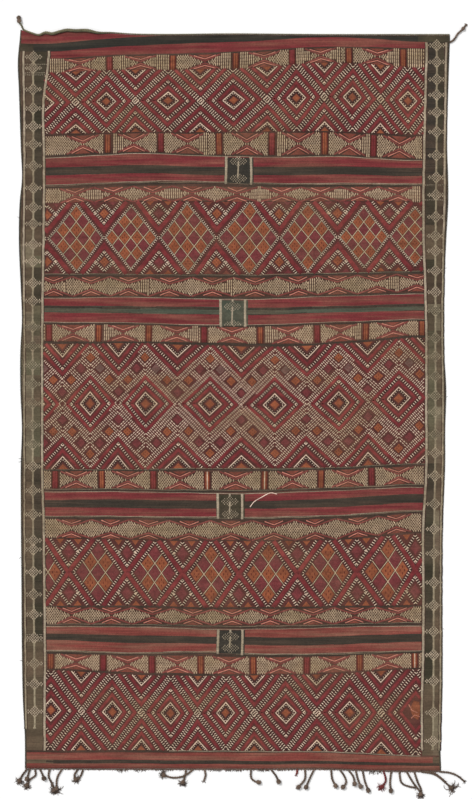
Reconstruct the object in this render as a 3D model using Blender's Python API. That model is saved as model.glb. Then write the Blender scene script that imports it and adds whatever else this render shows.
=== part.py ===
"""A flat-woven, brocaded rug of the Middle Atlas, lying face up on the floor.

It is built as the weaver makes it: a heading cord that the warp hangs from, the
woven cloth, and the twined end row with its warp ends, some knotted.
Run it with: blender --background --python part.py
"""

import math

import bmesh
import bpy
from mathutils import Vector

# All sizes are in metres. X runs across the rug, Y along it towards the heading,
# and Z up from the floor. The origin is the middle of the whole rug's footprint.

MM = 0.001
SEAM_GAP = 0.3 * MM

# Thickness of the cloth: plain weft-faced stripes, and fields with brocade on top.
PLAIN_THICK = 2.4 * MM
BROCADE_THICK = 3.2 * MM
EDGE_THICK = 1.5 * MM
WAVE_HEIGHT = 0.15 * MM
WAVE_LENGTH = (0.70, 0.95)
SELVEDGE_WIDTH = 5.0 * MM
BROCADE_STEP = 4.0 * MM
COLUMN_PITCH = 0.058
ROW_PITCH = 0.058

# Heading cord and twined end row.
CORD_WIDTH = 6.0 * MM
CORD_THICK = 4.0 * MM
END_ROW_WIDTH = 5.0 * MM
END_ROW_THICK = 3.0 * MM

# Warp ends: plied strands, their knots, and short frayed locks.
STRAND_WIDTH = 6.0 * MM
STRAND_THICK = 4.0 * MM
KNOT_WIDTH = 12.0 * MM
KNOT_THICK = 8.0 * MM
KNOT_LENGTH = 9.0 * MM
STRAND_PITCH = 0.016
LOCK_WIDTH = 3.0 * MM
LOCK_THICK = 2.0 * MM
LOCK_PITCH = 0.013
ROOT_DEPTH = 2.0 * MM
ROOT_LIFT = 0.5 * MM
TOP_SHARE = 0.6

# Side edges as they lie: (y, left x, right x).
SIDE_EDGES = (
    (1.496, -0.884, 0.834),
    (1.392, -0.894, 0.830),
    (1.272, -0.890, 0.826),
    (1.032, -0.882, 0.822),
    (0.912, -0.878, 0.826),
    (0.832, -0.886, 0.826),
    (0.672, -0.890, 0.818),
    (0.472, -0.882, 0.810),
    (0.352, -0.878, 0.810),
    (0.232, -0.884, 0.810),
    (0.072, -0.884, 0.818),
    (-0.088, -0.878, 0.814),
    (-0.208, -0.882, 0.814),
    (-0.448, -0.882, 0.806),
    (-0.688, -0.880, 0.802),
    (-0.968, -0.878, 0.804),
    (-1.168, -0.874, 0.802),
    (-1.328, -0.866, 0.794),
    (-1.440, -0.866, 0.798),
)

# End edges as they lie: (x, outer y of the heading cord, outer y of the end row).
END_EDGES = (
    (-0.878, 1.518, -1.446),
    (-0.814, 1.498, -1.446),
    (-0.702, 1.512, -1.446),
    (-0.606, 1.514, -1.447),
    (-0.518, 1.504, -1.447),
    (-0.006, 1.499, -1.448),
    (0.354, 1.496, -1.448),
    (0.634, 1.496, -1.456),
    (0.834, 1.496, -1.456),
)

# Brocaded fields: (top y, bottom y) at each of these places across the rug.
FIELD_STATIONS = (-0.758, -0.406, -0.146, 0.094, 0.354, 0.682)
FIELDS = (
    ((1.394, 1.408, 1.412, 1.426, 1.440, 1.432), (1.024, 1.030, 1.024, 1.022, 1.022, 1.004)),
    ((0.874, 0.888, 0.886, 0.882, 0.884, 0.884), (0.448, 0.448, 0.446, 0.446, 0.454, 0.466)),
    ((0.332, 0.330, 0.324, 0.324, 0.332, 0.346), (-0.321, -0.322, -0.325, -0.325, -0.318, -0.302)),
    ((-0.444, -0.448, -0.452, -0.450, -0.443, -0.424), (-0.862, -0.864, -0.868, -0.868, -0.864, -0.856)),
    ((-0.984, -0.992, -0.992, -0.998, -0.994, -0.980), (-1.368, -1.368, -1.370, -1.370, -1.372, -1.390)),
)

# The heading cord's loose tails, from the cloth's corner outwards: (x, y).
LEFT_TAIL = ((-0.878, 1.515), (-0.884, 1.530), (-0.891, 1.548), (-0.893, 1.563))
RIGHT_TAIL = ((0.846, 1.496), (0.866, 1.501), (0.886, 1.514), (0.902, 1.531))
ACROSS_CORD = Vector((0.0, 1.0))

# Plied warp ends: root x, then (x, drop below the end row) for each bend and the tip,
# and the share of the length where a knot sits, or None.
STRANDS = (
    (-0.858, ((-0.888, 0.034), (-0.876, 0.056), (-0.858, 0.072)), 0.42),
    (-0.846, ((-0.868, 0.032),), 0.90),
    (-0.826, ((-0.842, 0.030), (-0.852, 0.050)), None),
    (-0.806, ((-0.788, 0.034),), 0.88),
    (-0.766, ((-0.774, 0.020), (-0.752, 0.076), (-0.750, 0.108)), 0.70),
    (-0.718, ((-0.734, 0.036), (-0.735, 0.070)), None),
    (-0.656, ((-0.664, 0.036), (-0.658, 0.056)), 0.66),
    (-0.634, ((-0.644, 0.030),), None),
    (-0.194, ((-0.234, 0.030), (-0.306, 0.028), (-0.326, 0.016)), None),
    (-0.148, ((-0.154, 0.044),), None),
    (0.038, ((0.040, 0.038), (0.070, 0.052)), 0.92),
    (0.118, ((0.150, 0.048),), 0.90),
    (0.222, ((0.220, 0.016),), None),
    (0.254, ((0.252, 0.050), (0.224, 0.068)), 0.92),
    (0.286, ((0.262, 0.074),), 0.92),
    (0.358, ((0.374, 0.064),), 0.92),
    (0.394, ((0.418, 0.044), (0.418, 0.064)), 0.92),
    (0.434, ((0.462, 0.040), (0.450, 0.060)), 0.92),
    (0.464, ((0.480, 0.056),), None),
    (0.484, ((0.506, 0.080),), None),
    (0.574, ((0.562, 0.068),), None),
    (0.598, ((0.594, 0.076),), None),
    (0.630, ((0.644, 0.056), (0.682, 0.068)), None),
    (0.662, ((0.696, 0.058), (0.712, 0.088), (0.714, 0.112)), 0.80),
    (0.690, ((0.734, 0.074),), None),
    (0.718, ((0.762, 0.018), (0.816, 0.060), (0.850, 0.100)), 0.72),
    (0.780, ((0.842, 0.018), (0.888, 0.044)), None),
)

# Stretches of the end row where the warp ends are cut short: (from x, to x, drop).
LOCK_RUNS = (
    (-0.600, -0.350, 0.012),
    (-0.120, 0.020, 0.007),
    (0.060, 0.100, 0.006),
    (0.510, 0.560, 0.010),
)


def clear_scene():
    for obj in list(bpy.data.objects):
        bpy.data.objects.remove(obj, do_unlink=True)


def new_collection(name):
    collection = bpy.data.collections.new(name)
    bpy.context.scene.collection.children.link(collection)
    return collection


def woollen(name, colour, roughness=0.95):
    material = bpy.data.materials.new(name)
    material.use_nodes = True
    shader = material.node_tree.nodes["Principled BSDF"]
    shader.inputs["Base Color"].default_value = (*colour, 1.0)
    shader.inputs["Roughness"].default_value = roughness
    shader.inputs["Metallic"].default_value = 0.0
    return material


def through(xs, ys, x):
    """Smooth curve through the points (xs, ys), with xs rising, and level beyond both ends."""
    if x <= xs[0]:
        return ys[0]
    if x >= xs[-1]:
        return ys[-1]
    last = len(xs) - 1
    i = max(k for k in range(last) if xs[k] <= x)
    before, after = max(i - 1, 0), min(i + 2, last)
    span = xs[i + 1] - xs[i]
    t = (x - xs[i]) / span
    start_slope = (ys[i + 1] - ys[before]) / (xs[i + 1] - xs[before]) * span
    end_slope = (ys[after] - ys[i]) / (xs[after] - xs[i]) * span
    start = (2 * t**3 - 3 * t**2 + 1) * ys[i] + (t**3 - 2 * t**2 + t) * start_slope
    end = (3 * t**2 - 2 * t**3) * ys[i + 1] + (t**3 - t**2) * end_slope
    return start + end


def stations(start, stop, pitch):
    """Even steps of about this pitch from start to stop."""
    count = max(1, round((stop - start) / pitch))
    return [start + (stop - start) * k / count for k in range(count + 1)]


def side_x(side, y):
    """X of the left (side 0) or right (side 1) edge of the cloth at y."""
    rows = SIDE_EDGES[::-1]
    return through([row[0] for row in rows], [row[1 + side] for row in rows], y)


def end_y(end, x):
    """Outer y of the heading cord (end 0) or of the end row (end 1) at x."""
    return through([row[0] for row in END_EDGES], [row[1 + end] for row in END_EDGES], x)


def cloth_end_y(end, x):
    """Y of the woven cloth's own top (end 0) or bottom (end 1) edge at x."""
    if end == 0:
        return end_y(0, x) - CORD_WIDTH - SEAM_GAP
    return end_y(1, x) + END_ROW_WIDTH + SEAM_GAP


def field_y(field, side, x):
    return through(FIELD_STATIONS, FIELDS[field][side], x)


def row_between(top, bottom, share):
    return lambda x: top(x) + (bottom(x) - top(x)) * share


def cloth_zones():
    """Each zone of the cloth from the heading down, as (top line, bottom line, thickness)."""
    lines = [lambda x: cloth_end_y(0, x)]
    for field in range(len(FIELDS)):
        lines.append(lambda x, f=field: field_y(f, 0, x))
        lines.append(lambda x, f=field: field_y(f, 1, x))
    lines.append(lambda x: cloth_end_y(1, x))
    thicks = [PLAIN_THICK, BROCADE_THICK] * len(FIELDS) + [PLAIN_THICK]
    return list(zip(lines, lines[1:], thicks))


def cloth_rows():
    """The cloth's rows from the heading down, as (y at x, thickness)."""
    rows = []
    for top, bottom, thick in cloth_zones():
        height = top(0.0) - bottom(0.0)
        step = BROCADE_STEP / height if thick == BROCADE_THICK else 0.0
        shares = stations(step, 1.0 - step, ROW_PITCH / height)
        if not step:
            shares = shares[1:-1]
        rows.append((top, PLAIN_THICK))
        rows.extend((row_between(top, bottom, share), thick) for share in shares)
    rows.append((bottom, PLAIN_THICK))
    return rows


def cloth_columns():
    """Shares of the cloth's width, with a narrow column for each selvedge."""
    width = SIDE_EDGES[0][2] - SIDE_EDGES[0][1]
    edge = SELVEDGE_WIDTH / width
    return [0.0, *stations(edge, 1.0 - edge, COLUMN_PITCH / width), 1.0]


def cloth_point(row, column):
    """(x, y, thickness) of the cloth's top at this row and share of the width."""
    line, thick = row
    y = line(SIDE_EDGES[0][1] + (SIDE_EDGES[0][2] - SIDE_EDGES[0][1]) * column)
    x = side_x(0, y) + (side_x(1, y) - side_x(0, y)) * column
    y = line(x)
    turns = x / WAVE_LENGTH[0] + y / WAVE_LENGTH[1]
    wave = WAVE_HEIGHT * math.sin(2 * math.pi * turns)
    return x, y, EDGE_THICK if column in (0.0, 1.0) else thick + wave


def link_mesh(name, bm, collection, material=None):
    bmesh.ops.recalc_face_normals(bm, faces=bm.faces)
    mesh = bpy.data.meshes.new(name)
    bm.to_mesh(mesh)
    bm.free()
    obj = bpy.data.objects.new(name, mesh)
    collection.objects.link(obj)
    if material:
        mesh.materials.append(material)
    return obj


def make_cloth(collection):
    """The woven cloth: a grid laid along its rows, then drawn up to its thickness."""
    rows, columns = cloth_rows(), cloth_columns()
    across, along = len(columns) - 1, len(rows) - 1
    bm = bmesh.new()
    bmesh.ops.create_grid(bm, x_segments=across, y_segments=along, size=1.0)
    for vert in bm.verts:
        column = columns[round((vert.co.x + 1) / 2 * across)]
        row = rows[round((1 - vert.co.y) / 2 * along)]
        vert.co = cloth_point(row, column)
    underside = list(bm.verts)
    bmesh.ops.extrude_face_region(bm, geom=list(bm.faces))
    for vert in underside:
        vert.co.z = 0.0
    return link_mesh("cloth", bm, collection, woollen("cloth_wool", (0.20, 0.045, 0.04)))


def loft(bm, sections, sides=None):
    """Closed four-sided body through (x, y, half width, bottom z, top z) sections.

    A section stands square to the path, or along its own entry in sides.
    """
    places = [Vector(section[:2]) for section in sections]
    rings = []
    for i, (x, y, half, low, high) in enumerate(sections):
        along = (places[min(i + 1, len(places) - 1)] - places[max(i - 1, 0)]).normalized()
        side = sides[i] if sides and sides[i] else Vector((-along.y, along.x))
        corners = ((half, low), (half * TOP_SHARE, high), (-half * TOP_SHARE, high), (-half, low))
        rings.append([bm.verts.new((x + side.x * s, y + side.y * s, z)) for s, z in corners])
    for ring, following in zip(rings, rings[1:]):
        for k in range(4):
            bm.faces.new((ring[k - 1], ring[k], following[k], following[k - 1]))
    bm.faces.new(rings[0])
    bm.faces.new(rings[-1])


def cloth_end_xs(end):
    """X of each column of the cloth, along its top (end 0) or bottom (end 1) edge."""
    row = (lambda x: cloth_end_y(end, x)), PLAIN_THICK
    return [cloth_point(row, column)[0] for column in cloth_columns()]


def make_heading_cord(collection):
    """The cord that heads the warp, one length from its left tail to its right one."""
    half = CORD_WIDTH / 2
    edge = [(x, end_y(0, x) - half) for x in cloth_end_xs(0)[2:]]
    path = [*reversed(LEFT_TAIL), *edge, *RIGHT_TAIL]
    sides = [None] * len(LEFT_TAIL) + [ACROSS_CORD] * len(edge) + [None] * len(RIGHT_TAIL)
    sections = [[x, y, half, 0.0, CORD_THICK] for x, y in path]
    for tip in (sections[0], sections[-1]):
        tip[2:] = [half / 2, 0.0, CORD_THICK / 2]
    bm = bmesh.new()
    loft(bm, sections, sides)
    return link_mesh("heading_cord", bm, collection, woollen("cord_wool", (0.10, 0.09, 0.055)))


def strand_path(root_x, bends):
    """Length of a warp end from inside the end row to its tip, and its place at any length."""
    root_y = end_y(1, root_x)
    ties = [(root_x, root_y + ROOT_DEPTH)] + [(x, root_y - drop) for x, drop in bends]
    lengths = [0.0]
    for tie, following in zip(ties, ties[1:]):
        lengths.append(lengths[-1] + math.dist(tie, following))
    xs, ys = [tie[0] for tie in ties], [tie[1] for tie in ties]
    return lengths[-1], lambda s: (through(lengths, xs, s), through(lengths, ys, s))


def strand_marks(length, knot):
    """Lengths along a strand where it has a section, close together around its knot."""
    marks = stations(2 * ROOT_DEPTH, length, STRAND_PITCH)
    if knot is not None:
        marks = [mark for mark in marks if abs(mark - knot) > KNOT_LENGTH]
        marks += [knot + KNOT_LENGTH * share for share in (-0.85, -0.5, 0.5, 0.85)]
    return sorted(marks)


def add_strand(bm, root_x, bends, knot_share):
    """One plied warp end, lying on the floor."""
    length, place = strand_path(root_x, bends)
    knot = None
    if knot_share is not None:
        knot = min(length * knot_share, length - KNOT_LENGTH)
    inner_top = END_ROW_THICK - ROOT_LIFT
    sections = [(*place(0.0), STRAND_WIDTH / 3, ROOT_LIFT, inner_top)]
    for mark in strand_marks(length, knot):
        knotted = knot is not None and abs(mark - knot) < KNOT_LENGTH * 0.6
        width, thick = (KNOT_WIDTH, KNOT_THICK) if knotted else (STRAND_WIDTH, STRAND_THICK)
        sections.append((*place(mark), width / 2, 0.0, thick))
    loft(bm, sections)


def add_lock(bm, x, drop, lean):
    """A short frayed end that lies straight out from the end row."""
    root = end_y(1, x)
    half = LOCK_WIDTH / 2
    sections = (
        (x, root + ROOT_DEPTH, half, ROOT_LIFT, LOCK_THICK),
        (x, root - ROOT_DEPTH / 2, half, 0.0, LOCK_THICK),
        (x + lean, root - drop, half * TOP_SHARE, 0.0, LOCK_THICK * TOP_SHARE),
    )
    loft(bm, sections)


def make_warp_ends(cutters):
    """All strands and short locks, apart from each other, rooted inside the end row."""
    bm = bmesh.new()
    for root_x, bends, knot_share in STRANDS:
        add_strand(bm, root_x, bends, knot_share)
    for start, stop, drop in LOCK_RUNS:
        for k, x in enumerate(stations(start, stop, LOCK_PITCH)):
            add_lock(bm, x, drop * (0.7 + 0.3 * (k % 3) / 2), 2.0 * MM * (k % 2))
    ends = link_mesh("warp_ends", bm, cutters)
    ends.hide_render = True
    ends.display_type = "WIRE"
    return ends


def make_end_fringe(collection, cutters):
    """The twined end row along the foot of the cloth, with its warp ends fused in."""
    half = END_ROW_WIDTH / 2
    sections = [(x, end_y(1, x) + half, half, 0.0, END_ROW_THICK) for x in cloth_end_xs(1)]
    bm = bmesh.new()
    loft(bm, sections, [ACROSS_CORD] * len(sections))
    fringe = link_mesh("end_fringe", bm, collection, woollen("fringe_wool", (0.17, 0.06, 0.05)))
    fuse = fringe.modifiers.new("fuse_warp_ends", "BOOLEAN")
    fuse.operation = "UNION"
    fuse.solver = "EXACT"
    fuse.object = make_warp_ends(cutters)
    return fringe


def main():
    clear_scene()
    rug = new_collection("moroccan_rug")
    cutters = new_collection("cutters")
    cutters.hide_render = True
    make_cloth(rug)
    make_heading_cord(rug)
    make_end_fringe(rug, cutters)


main()
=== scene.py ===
"""Looks of the Moroccan rug: woven ground, raised brocade, borders, cord and warp ends."""

import math
import random

import bpy
import numpy as np
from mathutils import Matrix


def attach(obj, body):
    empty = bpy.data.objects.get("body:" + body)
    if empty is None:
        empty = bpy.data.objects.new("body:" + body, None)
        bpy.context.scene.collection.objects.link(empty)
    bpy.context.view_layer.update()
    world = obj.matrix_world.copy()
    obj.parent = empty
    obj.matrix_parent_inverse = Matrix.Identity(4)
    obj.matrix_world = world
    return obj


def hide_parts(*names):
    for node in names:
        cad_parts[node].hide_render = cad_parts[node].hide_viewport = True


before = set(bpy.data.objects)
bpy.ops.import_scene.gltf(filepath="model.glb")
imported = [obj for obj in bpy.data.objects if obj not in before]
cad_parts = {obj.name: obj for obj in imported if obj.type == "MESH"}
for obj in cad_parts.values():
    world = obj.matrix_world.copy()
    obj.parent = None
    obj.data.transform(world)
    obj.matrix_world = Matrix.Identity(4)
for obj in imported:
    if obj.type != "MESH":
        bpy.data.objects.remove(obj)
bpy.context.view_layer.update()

# Lengths are in millimetres where a name or table says so, and are turned into metres by MM.
# X runs across the rug, Y along it towards the heading, Z up from the floor.

MM = 0.001
SEED = 11
chance = random.Random(SEED)

# The woven ground.
PLAIN_TOP = 2.3
BROCADE_TOP = 2.7
EDGE_TOP = 1.4
SELVEDGE = 5.0
SELVEDGE_RUN = (1480.0, -1440.0)
SELVEDGE_PITCH = 5.2
LEAST_ROW = 0.6
SEAM_GAP = 0.3
CORD_WIDTH = 6.0
END_ROW_WIDTH = 5.0
ROW_STEP = 24.0
FIELD_COLUMNS = 44

# The brocade floats stand on the ground by these heights.
FLOAT_RISE = 1.1
RIBBON_RISE = 0.45
PATCH_RISE = 0.55
SINK = 0.3

# A dark bed under ticks and lines: how much wider than they are, and how high.
BED_MARGIN = 2.5
BED_RISE = 0.1

RIBBON_STEP = 22.0
SMALLEST_PATCH = 6.0
NO_NEIGHBOUR = 120
EYE_SIZE = 4.6
EYE_YARN = 2.6
HEART_SHARE = 0.44
HEART_DOTS = ((-0.3, 0), (0.3, 0), (0, -0.3), (0, 0.3))
CROSSING_MARGIN = 16.0
CROSSING_HALF = 6.5

# Which way v runs into a zone from each of its edges.
INWARD = {"top": 1, "foot": -1}

# Side edges as they lie: (y, left x, right x), in mm.
SIDE_EDGES = (
    (1496, -884, 834),
    (1392, -894, 830),
    (1272, -890, 826),
    (1032, -882, 822),
    (912, -878, 826),
    (832, -886, 826),
    (672, -890, 818),
    (472, -882, 810),
    (352, -878, 810),
    (232, -884, 810),
    (72, -884, 818),
    (-88, -878, 814),
    (-208, -882, 814),
    (-448, -882, 806),
    (-688, -880, 802),
    (-968, -878, 804),
    (-1168, -874, 802),
    (-1328, -866, 794),
    (-1440, -866, 798),
)

# End edges as they lie: (x, outer y of the heading cord, outer y of the end row), in mm.
END_EDGES = (
    (-878, 1518, -1446),
    (-840, 1503, -1446),
    (-810, 1495, -1446),
    (-785, 1504, -1446),
    (-757, 1500, -1446),
    (-727, 1508, -1446),
    (-700, 1514, -1446),
    (-665, 1512, -1446),
    (-612, 1512, -1447),
    (-582, 1505, -1447),
    (-518, 1504, -1447),
    (-454, 1500, -1447),
    (-6, 1499, -1448),
    (354, 1496, -1448),
    (634, 1496, -1456),
    (834, 1496, -1456),
)

# Border lines: (y, outer line, spine, inner line on the left, then inner, spine, outer on the right).
BORDER_LINES = (
    (1452, -870, -832, -768, 740, 781, 819),
    (1392, -872, -832, -772, 740, 781, 818),
    (1332, -872, -833, -779, 738, 781, 817),
    (1252, -870, -833, -790, 736, 781, 816),
    (1032, -868, -832, -790, 731, 780, 813),
    (832, -869, -832, -790, 728, 778, 812),
    (672, -871, -833, -792, 729, 776, 808),
    (472, -870, -834, -795, 736, 776, 804),
    (312, -868, -835, -797, 739, 776, 803),
    (32, -869, -835, -797, 739, 776, 806),
    (-288, -868, -834, -796, 738, 774, 803),
    (-448, -868, -833, -792, 728, 771, 798),
    (-768, -866, -831, -788, 728, 769, 796),
    (-1008, -864, -828, -786, 726, 768, 796),
    (-1168, -863, -827, -787, 722, 768, 795),
    (-1368, -860, -826, -787, 722, 765, 790),
)
BORDER_NAMES = ("left outer", "left spine", "left inner", "right inner", "right spine", "right outer")

# Every woven line from the heading down: its name, the wool below it, and its y in mm at
# each of these places across the rug.
LINE_STATIONS = (-758, -406, -146, 94, 354, 682)
LINES = (
    ("first black top", "night", 1458, 1485, 1498, 1496, 1495, 1496),
    ("first black foot", "red", 1426, 1450, 1460, 1470, 1484, 1464),
    ("first red foot", "seam", 1398, 1416, 1420, 1432, 1446, 1438),
    ("strip 1 top", "strip", 1394, 1408, 1412, 1426, 1440, 1432),
    ("band 1 top", "band", 1342, 1354, 1354, 1364, 1382, 1362),
    ("band 1 foot", "seam", 1096, 1104, 1104, 1106, 1106, 1094),
    ("strip 2 top", "strip", 1084, 1098, 1098, 1100, 1100, 1084),
    ("strip 2 foot", "seam", 1012, 1024, 1016, 1012, 1014, 997),
    ("group 1 top", "red", 1000, 1017, 1009, 1004, 1006, 990),
    ("group 1 dark top", "black", 962, 971, 965, 965, 966, 960),
    ("group 1 dark foot", "red", 930, 940, 932, 930, 934, 929),
    ("group 1 foot", "seam", 890, 906, 906, 898, 898, 897),
    ("strip 3 top", "pale strip", 874, 888, 886, 882, 884, 884),
    ("band 2 top", "band", 818, 826, 826, 824, 826, 824),
    ("band 2 foot", "seam", 539, 536, 535, 536, 541, 548),
    ("strip 4 top", "strip", 526, 523, 521, 523, 529, 534),
    ("strip 4 foot", "seam", 448, 448, 446, 446, 454, 466),
    ("group 2 top", "red", 440, 444, 436, 436, 447, 456),
    ("group 2 dark top", "grey", 409, 407, 405, 400, 407, 417),
    ("group 2 dark foot", "red", 382, 378, 374, 373, 381, 389),
    ("group 2 foot", "seam", 342, 339, 332, 334, 342, 354),
    ("strip 5 top", "pale strip", 332, 330, 324, 324, 332, 346),
    ("strip 5 foot", "seam", 268, 266, 262, 258, 264, 290),
    ("band 3 top", "band", 256, 258, 250, 244, 254, 280),
    ("band 3 foot", "seam", -244, -244, -240, -240, -236, -220),
    ("strip 6 top", "strip", -252, -252, -255, -255, -248, -234),
    ("strip 6 foot", "seam", -321, -322, -325, -325, -318, -302),
    ("group 3 top", "red", -335, -335, -340, -340, -331, -316),
    ("group 3 dark top", "black", -367, -367, -371, -371, -363, -344),
    ("group 3 dark foot", "red", -395, -401, -403, -401, -396, -379),
    ("group 3 foot", "seam", -431, -434, -437, -437, -429, -411),
    ("strip 7 top", "strip", -444, -448, -452, -450, -443, -424),
    ("strip 7 foot", "seam", -518, -525, -529, -529, -525, -494),
    ("band 4 top", "band", -522, -528, -532, -532, -529, -504),
    ("band 4 foot", "seam", -792, -790, -796, -796, -793, -788),
    ("strip 8 top", "strip", -798, -798, -804, -804, -800, -796),
    ("strip 8 foot", "seam", -862, -864, -868, -868, -864, -856),
    ("group 4 top", "brick", -873, -876, -884, -884, -877, -871),
    ("group 4 dark top", "black", -902, -910, -914, -918, -914, -902),
    ("group 4 dark foot", "brick", -927, -940, -942, -950, -946, -934),
    ("group 4 foot", "seam", -969, -978, -974, -985, -981, -970),
    ("strip 9 top", "pale strip", -984, -992, -992, -998, -994, -980),
    ("strip 9 foot", "seam", -1042, -1058, -1062, -1064, -1058, -1038),
    ("band 5 top", "band", -1048, -1068, -1072, -1068, -1064, -1044),
    ("band 5 foot", "seam", -1368, -1368, -1370, -1370, -1372, -1390),
    ("last red top", "brick", -1377, -1378, -1379, -1379, -1380, -1396),
    ("last dark top", "black", -1406, -1407, -1409, -1412, -1412, -1420),
    ("last dark foot", "brick", -1421, -1421, -1424, -1425, -1424, -1431),
)
LINE_Y = {row[0]: row[2:] for row in LINES}
FIRST_BORDER_LINE = "first black foot"
LAST_BORDER_LINE = "band 5 foot"

# Middles of the diamonds in each band, and the crossings between them, in mm across the rug.
BAND_COLUMNS = {
    1: ((-790, -541, -294, -32, 219, 445, 665, 882), (-910, -662, -424, -166, 103, 332, 555, 774)),
    2: ((-886, -660, -442, -216, 32, 267, 490, 694), (-778, -548, -332, -98, 151, 384, 592, 798)),
    3: ((-828, -604, -385, -126, 134, 388, 629, 870), (-716, -492, -254, -2, 260, 506, 752)),
    4: ((-802, -574, -346, -122, 109, 346, 586, 802), (-918, -690, -458, -236, -10, 222, 462, 695)),
    5: ((-762, -516, -284, -62, 177, 432, 698), (-882, -642, -400, -175, 50, 302, 558, 822)),
}

# Strips of dotted cream: middles of the chevron pairs, then (middle, wool) of each bar.
STRIPS = {
    1: (
        (-648, -402, -147, 90, 318, 543),
        ((-528, "plum"), (-276, "orange"), (-22, "orange"), (201, "plum"), (430, "orange"), (648, "orange")),
    ),
    2: (
        (-634, -432, -215, 23, 227, 433, 630),
        ((-536, "orange"), (-322, "plum"), (-91, "orange"), (124, "plum"), (332, "orange"), (528, "plum")),
    ),
    3: ((-666, -512, -356, -194, -18, 162, 314, 474, 626), ()),
    4: ((-750, -602, -450, -288, -116, 54, 226, 385, 541, 704), ()),
    5: (
        (-672, -474, -260, -38, 186, 398, 604),
        ((-768, "plum"), (-572, "orange"), (-370, "orange"), (-152, "plum"), (77, "orange"),
         (302, "plum"), (498, "orange"), (722, "orange")),
    ),
    6: (
        (-662, -454, -246, -22, 204, 424, 630),
        ((-746, "plum"), (-560, "orange"), (-352, "plum"), (-136, "split"), (92, "split"),
         (318, "orange"), (520, "plum")),
    ),
    7: ((-680, -524, -370, -210, -42, 128, 294, 466, 620), ()),
    8: ((-678, -520, -356, -194, -38, 116, 286, 452, 624), ()),
    9: (
        (-662, -456, -256, -50, 156, 370, 584),
        ((-764, "orange"), (-552, "plum"), (-360, "plum"), (-162, "orange"), (47, "orange"),
         (262, "plum"), (472, "orange"), (692, "split")),
    ),
}

# Wools: (red, green, blue) as seen, and the shade that they fade to.
WOOLS = {
    "red": ((110, 44, 46), (118, 68, 58)),
    "brick": ((118, 58, 51), (124, 80, 66)),
    "night": ((44, 42, 37), (54, 49, 42)),
    "black": ((52, 46, 39), (68, 56, 46)),
    "bark": ((74, 61, 48), (84, 68, 54)),
    "umber": ((84, 72, 56), (92, 76, 60)),
    "sage": ((88, 82, 63), (90, 80, 62)),
    "grey": ((70, 74, 62), (84, 76, 62)),
    "seam": ((62, 48, 40), (84, 58, 48)),
    "strip": ((66, 44, 36), (78, 56, 43)),
    "pale strip": ((88, 62, 50), (98, 70, 55)),
    "band": ((82, 44, 40), (90, 56, 46)),
    "olive": ((56, 51, 38), (70, 60, 48)),
    "moss": ((108, 97, 78), (100, 84, 68)),
    "straw": ((142, 130, 107), (130, 116, 94)),
    "edge": ((56, 52, 42), (74, 66, 50)),
    "cream": ((208, 184, 162), (184, 162, 132)),
    "wheat": ((178, 154, 126), (166, 144, 112)),
    "oat": ((172, 154, 132), (158, 142, 118)),
    "sand": ((158, 144, 124), (142, 128, 106)),
    "rose": ((186, 116, 100), (168, 110, 90)),
    "crimson": ((108, 42, 44), (122, 58, 52)),
    "madder": ((114, 58, 52), (124, 72, 62)),
    "orange": ((136, 76, 50), (120, 70, 48)),
    "rust": ((116, 62, 50), (106, 66, 52)),
    "plum": ((106, 49, 50), (104, 60, 54)),
    "ash": ((104, 74, 68), (98, 76, 64)),
    "dark": ((56, 34, 30), (66, 44, 36)),
    "dark red": ((86, 34, 28), (92, 42, 32)),
    "cord": ((100, 96, 74), (118, 110, 84)),
    "ends": ((106, 89, 77), (90, 74, 62)),
    "fray": ((76, 64, 55), (88, 72, 62)),
    "pale": ((240, 214, 196), (226, 196, 176)),
}


def smooth(xs, ys, x):
    """Smooth curve through the points (xs, ys), with xs rising, level beyond both ends."""
    xs = np.asarray(xs, float)
    ys = np.asarray(ys, float)
    x = np.clip(x, xs[0], xs[-1])
    i = np.clip(np.searchsorted(xs, x, side="right") - 1, 0, len(xs) - 2)
    slope = np.gradient(ys, xs)
    span = xs[i + 1] - xs[i]
    t = (x - xs[i]) / span
    start = (2 * t**3 - 3 * t**2 + 1) * ys[i] + (t**3 - 2 * t**2 + t) * span * slope[i]
    end = (3 * t**2 - 2 * t**3) * ys[i + 1] + (t**3 - t**2) * span * slope[i + 1]
    return start + end


def column_of(table, column, y):
    """Value in a column of a table whose rows run down the rug by y."""
    rows = np.array(table[::-1], float)
    return smooth(rows[:, 0], rows[:, column], y)


def side_x(side, y):
    return column_of(SIDE_EDGES, 1 + side, y)


def border_x(name, y):
    return column_of(BORDER_LINES, 1 + BORDER_NAMES.index(name), y)


def end_y(end, x):
    rows = np.array(END_EDGES, float)
    return smooth(rows[:, 0], rows[:, 1 + end], x)


def cloth_end_y(end, x):
    """Y of the woven cloth's own top (end 0) or bottom (end 1) edge."""
    if end == 0:
        return end_y(0, x) - CORD_WIDTH - SEAM_GAP
    return end_y(1, x) + END_ROW_WIDTH + SEAM_GAP


# Slow waves that hand weaving wanders by: size, mm across and mm along the rug for each radian,
# and what the phase is multiplied by. Then the size in mm and the phase of each kind of wander.
WANDER_WAVES = ((1.0, 61.0, 143.0, 1.0), (0.6, 23.0, -87.0, 2.1), (0.6, 171.0, 37.0, 3.7))
LINE_WANDER = (0.8, 0.5)
ACROSS_WANDER = (1.3, 1.9)
ALONG_WANDER = (0.9, 4.2)
TOP_MARGIN = 0.8


def drift(x, y, size, phase):
    """A small, slow wander of hand weaving, in mm, at x and y."""
    return size * sum(share * np.sin(x / across + y / along + factor * phase)
                      for share, across, along, factor in WANDER_WAVES)


def line_y(name, x):
    """Y of a woven line, kept inside the cloth."""
    y = smooth(LINE_STATIONS, LINE_Y[name], x)
    y = y + drift(x, y, *LINE_WANDER)
    return np.minimum(y, cloth_end_y(0, x) - TOP_MARGIN)


TICK_PITCH = 9.8
TICK_WIDTH = 4.7
BORDER_GAP = 5.0
CALM_SIDE = 30.0
CALM_ENDS = 8


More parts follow.
